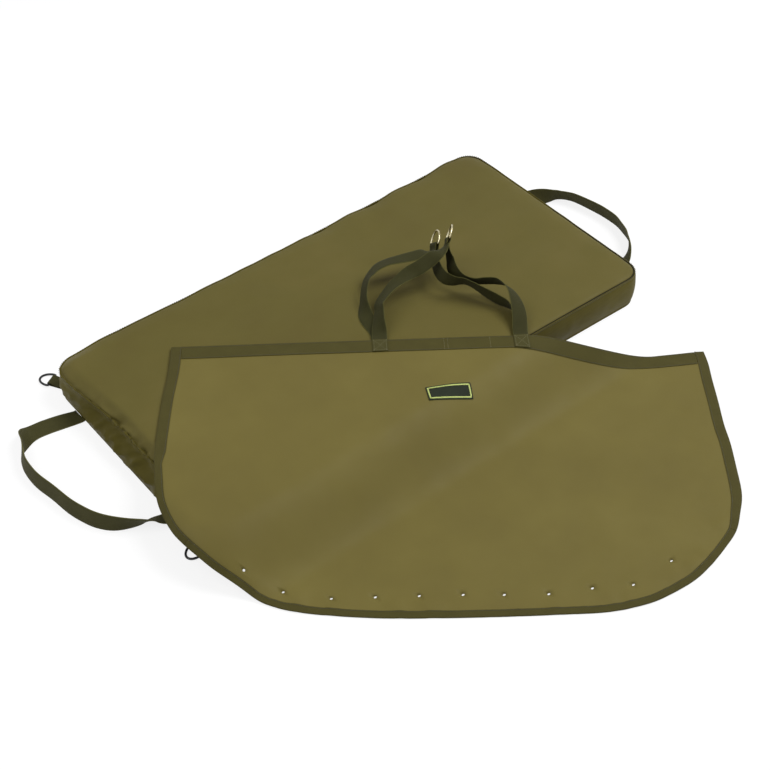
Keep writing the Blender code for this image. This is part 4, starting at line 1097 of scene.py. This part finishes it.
def labelPatch():
    p = patchSettings
    halfX, halfY = p["width"] / 2, p["height"] / 2
    ys = np.linspace(-halfY, halfY, p["rows"] + 1)
    flats = [[patchPlace(x, y) for y in ys] for x in np.linspace(-halfX, halfX, p["columns"] + 1)]
    plate = plateOn("labelPatchCloth", flats, frontBandBottom, p["thickness"], patchTwill)
    riding(plate, "sling", ["label_patch"])
    # The raised border is a satin-stitched cord just inside the edge.
    inX, inY = halfX - p["edge"] - p["border"] / 2, halfY - p["edge"] - p["border"] / 2
    corners = [(-inX, -inY), (inX, -inY), (inX, inY), (-inX, inY), (-inX, -inY)]
    line = []
    for (ax, ay), (bx, by) in zip(corners, corners[1:]):
        steps = p["longSteps"] if ay == by else p["shortSteps"]
        line += [(ax + (bx - ax) * k / steps, ay + (by - ay) * k / steps) for k in range(steps)]
    bm, uv = newTape()
    rings = []
    for k, (x, y) in enumerate(line):
        bx, by = line[k - 1]
        ax, ay = line[(k + 1) % len(line)]
        way = Vector((ax - bx, ay - by)).normalized()
        ring = []
        for n in range(p["sides"]):
            angle = 2 * math.pi * n / p["sides"]
            side = p["border"] / 2 * math.cos(angle)
            lift = frontBandBottom + p["thickness"] + p["cordLift"] + p["cordRise"] * math.sin(angle)
            ring.append(bm.verts.new(drape(*patchPlace(x - way.y * side, y + way.x * side), lift)))
        rings.append(ring)
    skin(bm, rings, uv, lambda n, k: (k * p["threadAlong"], n * p["threadAcross"]), closed=True)
    border = smoothed(objectFrom("labelPatchBorder", bm, patchEdge))
    return plate, riding(border, "sling")


patchPlate, patchBorder = labelPatch()
print("sling bands, bindings and patch made")


# Straps: sewn feet, and free loops folded over the weigh rings

strapSettings = {"width": 0.0250, "thickness": strapThin, "centre": 0.4515, "spread": 0.2300, "reach": 0.1900,
                 "rise": 0.0515, "datum": 0.0690, "foldRun": 0.0120, "footLength": 0.0276,
                 "footSetback": -0.1 * mm, "steps": 8, "foldSteps": 12, "footSteps": 8}
weighRing = {"wire": 0.0032, "innerWidth": 0.0280, "depth": 0.0240}
# Each row: a place in shares of half the spread, the reach and the rise, then the way across the webbing.
frontLeftLegShares = [
    ((-1.00, 0.07, 0.06), (1.00, -0.05, 0.05)), ((-1.00, 0.17, 0.26), (0.72, -0.55, 0.38)),
    ((-0.99, 0.27, 0.38), (0.50, -0.70, 0.50)), ((-0.97, 0.36, 0.45), (0.45, -0.75, 0.50)),
    ((-0.81, 0.49, 0.60), (0.42, -0.85, 0.30)), ((-0.67, 0.57, 0.67), (0.60, -0.78, 0.10)),
    ((-0.52, 0.64, 0.73), (0.68, -0.65, -0.30)), ((-0.37, 0.67, 0.86), (0.68, -0.60, -0.45)),
    ((-0.23, 0.715, 0.99), (0.64, -0.65, -0.40)), ((-0.09, 0.76, 1.14), (0.55, -0.80, 0.10)),
]
frontFoldShares = ((0.08, 0.93, 1.28), (0.10, -0.71, 0.70), (0.29, 0.68, 0.67))
frontRightLegShares = [
    ((0.09, 0.82, 0.75), (0.38, -0.56, 0.74)), ((0.12, 0.71, 0.62), (0.55, -0.40, 0.75)),
    ((0.23, 0.61, 0.55), (0.30, -0.30, 0.90)), ((0.40, 0.56, 0.55), (0.05, -0.42, 0.90)),
    ((0.57, 0.55, 0.58), (0.00, -0.36, 0.93)), ((0.73, 0.53, 0.62), (-0.05, -0.40, 0.90)),
    ((0.85, 0.48, 0.62), (-0.15, -0.68, 0.70)), ((0.94, 0.40, 0.54), (-0.55, -0.60, 0.55)),
    ((0.99, 0.29, 0.41), (-0.85, -0.40, 0.30)), ((1.01, 0.19, 0.25), (-0.97, -0.15, 0.10)),
    ((1.00, 0.06, 0.07), (-1.00, 0.00, 0.00)),
]
rearLeftLegShares = [
    ((-1.04, 0.12, -0.03), (1.00, 0.00, 0.00)), ((-1.17, 0.29, 0.02), (0.90, -0.05, 0.25)),
    ((-1.20, 0.46, 0.20), (0.40, -0.74, 0.54)), ((-1.15, 0.65, 0.39), (0.35, -0.71, 0.61)),
    ((-1.05, 0.73, 0.54), (0.29, -0.88, 0.38)), ((-0.96, 0.77, 0.64), (0.22, -0.94, 0.25)),
    ((-0.82, 0.80, 0.72), (0.25, -0.93, 0.25)), ((-0.67, 0.81, 0.78), (0.21, -0.97, 0.15)),
    ((-0.48, 0.84, 0.79), (0.19, -0.98, 0.03)), ((-0.30, 0.87, 0.82), (0.22, -0.97, 0.09)),
]
rearFoldShares = ((-0.11, 0.97, 0.95), (0.35, -0.66, 0.66), (0.21, 0.73, 0.62))
rearRightLegShares = [
    ((-0.13, 0.87, 0.60), (0.32, -0.40, 0.86)), ((-0.10, 0.72, 0.61), (0.37, 0.10, 0.92)),
    ((-0.02, 0.60, 0.63), (0.27, 0.07, 0.96)), ((0.12, 0.545, 0.64), (0.14, -0.21, 0.97)),
    ((0.25, 0.54, 0.62), (0.05, -0.41, 0.91)), ((0.35, 0.53, 0.55), (0.11, -0.52, 0.85)),
    ((0.46, 0.49, 0.48), (0.13, -0.46, 0.88)), ((0.60, 0.44, 0.37), (0.18, -0.31, 0.93)),
    ((0.74, 0.39, 0.28), (0.22, -0.27, 0.94)), ((0.87, 0.34, 0.23), (-0.10, -0.30, 0.93)),
    ((0.97, 0.26, 0.17), (-0.55, -0.30, 0.75)), ((1.02, 0.17, 0.06), (-0.95, -0.10, 0.25)),
    ((1.01, 0.06, -0.03), (-1.00, 0.00, 0.00)),
]
strapOrigin = slingCorner + acrossWay * strapSettings["centre"] + up * strapSettings["datum"]
strapTurn = weighRing["wire"] / 2 + 2 * gap + strapSettings["thickness"] / 2


def strapPlace(shares):
    p = strapSettings
    e, b, z = shares
    return strapOrigin + acrossWay * (e * p["spread"] / 2) - downWay * (b * p["reach"]) + up * (z * p["rise"])


def strapWay(shares):
    e, b, z = shares
    return (acrossWay * e - downWay * b + up * z).normalized()


def foldFrame(foldShares):
    # The ring's bar where the strap folds: its centre, its axis, the way to the bow, and the way through.
    apex, barShares, bowShares = foldShares
    barAxis = strapWay(barShares)
    bowWay = strapWay(bowShares)
    bowWay = (bowWay - barAxis * bowWay.dot(barAxis)).normalized()
    return strapPlace(apex) - bowWay * strapTurn, barAxis, bowWay, barAxis.cross(bowWay)


def bandStations(points, endWay, least, sizes):
    # Squares each station's section to the band's run, and keeps it above what it rests on.
    made = []
    for k, (centre, across) in enumerate(points):
        if k in (0, len(points) - 1):
            along = endWay if k == 0 else -endWay
        else:
            along = (points[k + 1][0] - points[k - 1][0]).normalized()
        flat = (across - along * across.dot(along)).normalized()
        face = along.cross(flat)
        spot = centre.copy()
        spot.z = max(spot.z, least + abs(flat.z) * sizes["width"] / 2 + abs(face.z) * sizes["thickness"] / 2)
        made.append((spot, flat, face))
    return made


def slingStrap(word, leftLeg, foldShares, rightLeg, footBottom):
    # One strap from its left foot over the ring's bar to its right foot.
    p = strapSettings
    footRise = (drapeTop + footBottom + p["thickness"] / 2 - p["datum"]) / p["rise"]
    edge = gap / p["reach"]
    centre, barAxis, bowWay, through = foldFrame(foldShares)
    left = [((-1.0, edge, footRise), (1.0, 0.0, 0.0))] + leftLeg
    right = rightLeg + [((1.0, edge, footRise), (-1.0, 0.0, 0.0))]
    legIn, legOut = ([(*strapPlace(place), *strapWay(way)) for place, way in leg] for leg in (left, right))
    inside, outside = centre + through * strapTurn, centre - through * strapTurn
    legIn += [(*(inside - bowWay * lead), *barAxis) for lead in (p["foldRun"], strapTurn)]
    legOut = [(*(outside - bowWay * lead), *barAxis) for lead in (strapTurn, p["foldRun"])] + legOut
    points = [(Vector(row[:3]), Vector(row[3:])) for row in smoothThrough(legIn, p["steps"])]
    for k in range(p["foldSteps"] + 1):
        angle = math.pi * k / p["foldSteps"]
        bend = through * (strapTurn * math.cos(angle)) + bowWay * (strapTurn * math.sin(angle))
        points.append((centre + bend, barAxis))
    points += [(Vector(row[:3]), Vector(row[3:])) for row in smoothThrough(legOut, p["steps"])]
    stations = bandStations(points, -downWay, drapeTop, p)
    # The loop is drawn in the darker webbing, painted shade.
    shell = sweepTape(word + "SlingStrap", stations, p["width"], p["thickness"], shadedStrapWebbing)
    riding(shell, word + "_strap", [word + "_sling_strap"])


def strapFoot(word, sideWord, side, bottom, wave):
    p = strapSettings
    centre = p["centre"] + side * p["spread"] / 2
    steps = range(p["footSteps"] + 1)
    across = [centre + p["width"] * (i / p["footSteps"] - 0.5) for i in steps]
    down = [p["footSetback"] + p["footLength"] * j / p["footSteps"] for j in steps]
    flats = [[(s, t) for t in down] for s in across]
    shell = plateOn(word + "Strap" + sideWord + "Foot", flats, bottom, p["thickness"], footWebbing, wave)
    riding(shell, "sling", [word + "_strap_" + sideWord.lower() + "_foot"])


slingStrap("front", frontLeftLegShares, frontFoldShares, frontRightLegShares, frontFootBottom)
slingStrap("rear", rearLeftLegShares, rearFoldShares, rearRightLegShares, rearFootBottom)
for sideWord, side in (("Left", -1), ("Right", 1)):
    strapFoot("front", sideWord, side, frontFootBottom, True)
    strapFoot("rear", sideWord, side, rearFootBottom, False)
print("straps made")


# Rings: round wire bent to a D, its bar across the webbing

wireSettings = {"bowSteps": 48, "barSteps": 10, "sides": 18, "cornerBar": 0.25, "cornerBow": 0.2}


def wireRing(word, sizes, centre, barAxis, bowWay, webWidth, material):
    # word: the ring's name as one word and as its body's.
    w = wireSettings
    halfBar = (sizes["innerWidth"] + sizes["wire"]) / 2
    bend = halfBar - webWidth / 2 - gap
    straight = halfBar - bend
    depth = sizes["depth"]
    rows = [(straight, 0.0), (halfBar - bend * w["cornerBar"], bend * w["cornerBow"])]
    for k in range(1, w["bowSteps"]):
        angle = math.pi * k / w["bowSteps"]
        rows.append((halfBar * math.cos(angle), depth * math.sin(angle) + bend))
    rows += [(-halfBar + bend * w["cornerBar"], bend * w["cornerBow"]), (-straight, 0.0)]
    rows += [(-straight + 2 * straight * k / w["barSteps"], 0.0) for k in range(1, w["barSteps"])]
    scale = depth / (depth + bend)
    places = [centre + barAxis * x + bowWay * (y * scale) for x, y in rows]
    faceWay = barAxis.cross(bowWay)
    turns = [2 * math.pi * n / w["sides"] for n in range(w["sides"])]
    bm = bmesh.new()
    rings = []
    for k, place in enumerate(places):
        along = (places[(k + 1) % len(places)] - places[k - 1]).normalized()
        out = along.cross(faceWay)
        ways = [out * math.cos(turn) + faceWay * math.sin(turn) for turn in turns]
        rings.append([bm.verts.new(place + way * (sizes["wire"] / 2)) for way in ways])
    skin(bm, rings, closed=True)
    ringName, bodyName = word
    riding(smoothed(objectFrom(ringName, bm, material)), bodyName, [bodyName])


for word, shares in (("front", frontFoldShares), ("rear", rearFoldShares)):
    centre, barAxis, bowWay, through = foldFrame(shares)
    wireRing((word + "WeighRing", word + "_weigh_ring"), weighRing, centre, barAxis, bowWay,
             strapSettings["width"], nickelSteel)


# Tether tabs and rings at the left end

tabSettings = {"width": 0.020, "thickness": 1.5 * mm, "rearAngle": math.radians(120), "rearLength": 0.0260,
               "frontAngle": math.radians(191), "frontLength": 0.0055, "plySteps": 6, "foldSteps": 12,
               "close": 0.35}
tetherRing = {"wire": 0.0038, "innerWidth": 0.0220, "depth": 0.0220}
tetherTurn = tetherRing["wire"] / 2 + gap + tabSettings["thickness"] / 2


def tabAndRing(word, side):
    # A tab folded round the ring's bar, sewn into the seam at a left corner; side is 1 at the back.
    t = tabSettings
    m = matSettings
    length, thick = t[word + "Length"], t["thickness"]
    outward = Vector((math.cos(t[word + "Angle"]), math.sin(t[word + "Angle"]), 0.0))
    across = Vector((-outward.y, outward.x, 0.0))
    root = Vector((-straightX / 2, side * straightY / 2, 0.0)) + outward * (m["cornerRadius"] + gap)
    lowPly = gap + thick / 2
    highPly = lowPly + thick + gap
    bar = lowPly + tetherTurn
    top = bar + tetherTurn
    spots = [(length * k / t["plySteps"], lowPly) for k in range(t["plySteps"] + 1)]
    for k in range(1, t["foldSteps"]):
        turn = math.pi * k / t["foldSteps"] - math.pi / 2
        spots.append((length + tetherTurn * math.cos(turn), bar + tetherTurn * math.sin(turn)))
    spots += [(length, top), (length - tetherTurn, top - thick / 4),
              (length * 0.5, highPly + (top - highPly) * t["close"]), (0.0, highPly)]
    stations = []
    for k, (run, height) in enumerate(spots):
        before, after = spots[max(k - 1, 0)], spots[min(k + 1, len(spots) - 1)]
        along = (outward * (after[0] - before[0]) + up * (after[1] - before[1])).normalized()
        stations.append((root + outward * run + up * height, across, along.cross(across)))
    tab = sweepTape(word + "RingTab", stations, t["width"], thick, handleWebbing)
    riding(tab, "mat", [word + "_ring_tab"])
    dip = math.asin((bar - tetherRing["wire"] / 2 - gap) / tetherRing["depth"])
    bowWay = outward * math.cos(dip) - up * math.sin(dip)
    wireRing((word + "TetherRing", word + "_tether_ring"), tetherRing, root + outward * length + up * bar,
             across, bowWay, t["width"], blackSteel)


tabAndRing("rear", 1)
tabAndRing("front", -1)
print("rings and tabs made")


# Carry handles: a loop of webbing at each end, lying on the ground and twisting on edge

handleSettings = {"width": 0.030, "thickness": 1.8 * mm, "reach": 0.120, "span": 0.265, "leftY": 0.0120,
                  "rightY": -0.0200, "leanShare": 1.30, "steps": 8}
# Each row: shares of the reach, of the span and of a quarter turn on edge.
leftHandleShares = [
    (0.05, 0.510, 0.00), (0.26, 0.530, 0.06), (0.48, 0.550, 0.08), (0.65, 0.555, 0.12), (0.79, 0.525, 0.52),
    (0.90, 0.460, 0.98), (0.97, 0.415, 1.14), (1.04, 0.330, 1.14), (1.06, 0.235, 1.15), (1.05, 0.150, 1.15),
    (1.00, 0.030, 1.15), (0.95, -0.120, 1.17), (0.87, -0.240, 1.17), (0.79, -0.315, 1.15), (0.68, -0.380, 1.08),
    (0.53, -0.435, 0.90), (0.36, -0.475, 0.67), (0.23, -0.490, 0.39), (0.10, -0.510, 0.18),
]
rightHandleShares = [
    (0.08, 0.500, 0.06), (0.18, 0.475, 0.20), (0.31, 0.430, 0.43), (0.43, 0.380, 0.74), (0.55, 0.340, 1.04),
    (0.66, 0.315, 1.22), (0.75, 0.270, 1.25), (0.81, 0.210, 1.22), (0.86, 0.105, 1.18), (0.90, -0.015, 1.15),
    (0.90, -0.140, 1.15), (0.85, -0.225, 1.17), (0.79, -0.300, 1.18), (0.71, -0.350, 1.16), (0.61, -0.395, 1.02),
    (0.49, -0.435, 0.77), (0.34, -0.470, 0.47), (0.18, -0.490, 0.17), (0.06, -0.505, 0.00),
]


def carryHandle(word, side, shares):
    p = handleSettings
    rest = p["thickness"] / 2 + gap
    rows = [(0.0, shares[0][1], 0.0), *shares, (0.0, shares[-1][1], 0.0)]
    spots = []
    for out, along, turn in smoothThrough(rows, p["steps"]):
        x = side * (matSettings["length"] / 2 + gap + max(out, 0.0) * p["reach"])
        roll = min(max(turn, 0.0), p["leanShare"]) * math.pi / 2
        spots.append((x, p[word + "Y"] + along * p["span"], roll))
    endWay = Vector((side, 0.0, 0.0))
    points = []
    for k, (x, y, roll) in enumerate(spots):
        if k in (0, len(spots) - 1):
            run = endWay if k == 0 else -endWay
        else:
            before, after = spots[k - 1], spots[k + 1]
            run = Vector((after[0] - before[0], after[1] - before[1], 0.0)).normalized()
        outward = Vector((-side * run.y, side * run.x, 0.0))
        across = outward * math.cos(roll) + up * math.sin(roll)
        points.append((Vector((x, y, rest + p["width"] / 2 * math.sin(roll))), across))
    stations = bandStations(points, endWay, gap, p)
    shell = sweepTape(word + "CarryHandle", stations, p["width"], p["thickness"], handleWebbing)
    riding(shell, word + "_handle", [word + "_carry_handle"])


carryHandle("left", -1, leftHandleShares)
carryHandle("right", 1, rightHandleShares)
print("handles made")


# Sewing on the sling, seen on its front leaf and the front strap's feet

sewingSettings = {
    "side": 2.0 * mm, "mouth": 2.0 * mm, "bandEdge": 1.8 * mm, "bindingEdge": 1.6 * mm, "footEdge": 2.5 * mm,
    "crossRows": (0.440, 0.446, 0.515), "crossEnd": 3.0 * mm, "bandSteps": 240, "shortSteps": 12,
    "crossSteps": 16,
}


def slingLine(flats, lift):
    return [(tuple(drape(s, t, lift)), tuple(drapeNormal(s, t))) for s, t in flats]


def straightRun(start, end, steps):
    wayX, wayY = end[0] - start[0], end[1] - start[1]
    return [(start[0] + wayX * k / steps, start[1] + wayY * k / steps) for k in range(steps + 1)]


def edgeRow(edge, widths):
    # A row of stitches on a binding, just inside its inner edge.
    rows = []
    for k, width in enumerate(widths):
        way = edge[min(k + 1, len(edge) - 1)] - edge[max(k - 1, 0)]
        way = way / np.linalg.norm(way)
        rows.append(tuple(edge[k] - np.array([way[1], -way[0]]) * (width - sewingSettings["bindingEdge"])))
    return slingLine(rows, frontBandTop)


def edgeLines():
    c, g = sewingSettings, slingSettings
    inset = g["sideBinding"] + c["side"]
    lines = []
    for t in (c["mouth"], g["topBand"] - c["bandEdge"]):
        row = straightRun((inset, t), (g["width"] - inset, t), c["bandSteps"])
        lines.append(slingLine([(s, down + mouthSag(s)) for s, down in row], frontBandTop))
    lines.append(edgeRow(leftEdge[::-1], leftWidths[::-1]))
    lines.append(edgeRow(rightEdge, rightWidths))
    lines.append(edgeRow(rimEdge[::-1], rimWidths))
    return lines


def footLines():
    c, p = sewingSettings, strapSettings
    lines = []
    for s in c["crossRows"]:
        row = straightRun((s, c["crossEnd"]), (s, slingSettings["topBand"] - c["crossEnd"]), c["shortSteps"])
        lines.append(slingLine(row, frontBandTop))
    for side in (-1, 1):
        centre = p["centre"] + side * p["spread"] / 2
        left, right = centre - p["width"] / 2 + c["footEdge"], centre + p["width"] / 2 - c["footEdge"]
        low, high = p["footSetback"] + c["footEdge"], p["footSetback"] + p["footLength"] - c["footEdge"]
        box = [(left, low), (right, low), (right, high), (left, high), (left, low)]
        pairs = [(*pair, c["shortSteps"]) for pair in zip(box, box[1:])]
        pairs += [(box[0], box[2], c["crossSteps"]), (box[1], box[3], c["crossSteps"])]
        lines += [slingLine(straightRun(*pair), frontFootBottom + p["thickness"]) for pair in pairs]
    return lines


# The edge rows are in the dark thread, which also paints a shade line along the band's lower edge.
edgeStitches = sewStitches("slingEdgeStitches", edgeLines(), darkThreadAndShadeLine,
                           Pitch=3.4 * mm, Length=2.9 * mm, Width=0.8 * mm, Rise=0.0)
footStitches = sewStitches("slingFootStitches", footLines(), oliveThread,
                           Pitch=3.4 * mm, Length=2.4 * mm, Width=0.6 * mm, Rise=0.05 * mm)
for stitches in (edgeStitches, footStitches):
    riding(stitches, "sling")
print("stitches sewn:", len(edgeStitches.data.polygons) + len(footStitches.data.polygons), "faces")


# Floor, light and world

stageSettings = {
    "floorHex": "#F4F4F5", "floorReach": 12.0, "floorRoughness": 0.9, "cameraWhite": 0.74, "glow": 1.10,
    "worldLight": 0.31,
    # Soft boxes: name, place, size and watts.
    "lamps": (("keySoftBox", (1.90, -1.00, 3.2), 1.9, 98.0), ("fillSoftBox", (-1.5, 0.3, 1.9), 1.4, 16.0)),
}
white = (1.0, 1.0, 1.0, 1.0)


def seenRays(tree):
    # One for rays that the camera sees directly, in a mirror or through glass, else nought.
    rays = addNode(tree, "ShaderNodeLightPath").outputs
    seen = rays["Is Camera Ray"]
    for other in ("Is Glossy Ray", "Is Transmission Ray"):
        seen = addNode(tree, "ShaderNodeMath", {0: seen, 1: rays[other]}, operation="MAXIMUM")
    return seen


def studioPaper():
    # White matt paper that glows a little for the camera, so that the background stays even.
    s = stageSettings
    paper, tree, shader = newMaterial("studioPaper", {"Base Color": toLinear(s["floorHex"]),
                                                      "Roughness": s["floorRoughness"]})
    share = addNode(tree, "ShaderNodeMath", {0: seenRays(tree), 1: s["cameraWhite"]}, operation="MULTIPLY")
    glow = addNode(tree, "ShaderNodeEmission", {"Color": white, "Strength": s["glow"]})
    mixer = addNode(tree, "ShaderNodeMixShader", {0: share, 1: shader, 2: glow})
    feed(tree, tree.nodes["Material Output"], {"Surface": mixer})
    return paper


reach = stageSettings["floorReach"]
floorMesh = bpy.data.meshes.new("studioFloor")
corners = [(-reach, -reach, 0), (reach, -reach, 0), (reach, reach, 0), (-reach, reach, 0)]
floorMesh.from_pydata(corners, [], [(0, 1, 2, 3)])
floor = newObject("studioFloor", floorMesh, studioPaper())

world = bpy.data.worlds.new("studioWorld")
bpy.context.scene.world = world
world.use_nodes = True
tree = world.node_tree
level = addNode(tree, "ShaderNodeMapRange", {"Value": seenRays(tree), "To Min": stageSettings["worldLight"],
                                             "To Max": 1.0})
feed(tree, tree.nodes["Background"], {"Strength": level, "Color": white})


def softBox(name, place, size, watts):
    # A square soft light turned towards the mat.
    lamp = bpy.data.lights.new(name, "AREA")
    lamp.shape = "RECTANGLE"
    lamp.size = lamp.size_y = size
    lamp.energy = watts
    aim(newObject(name, lamp), place, -Vector(place))


for lamp in stageSettings["lamps"]:
    softBox(*lamp)
bpy.context.scene.view_settings.view_transform = "Standard"
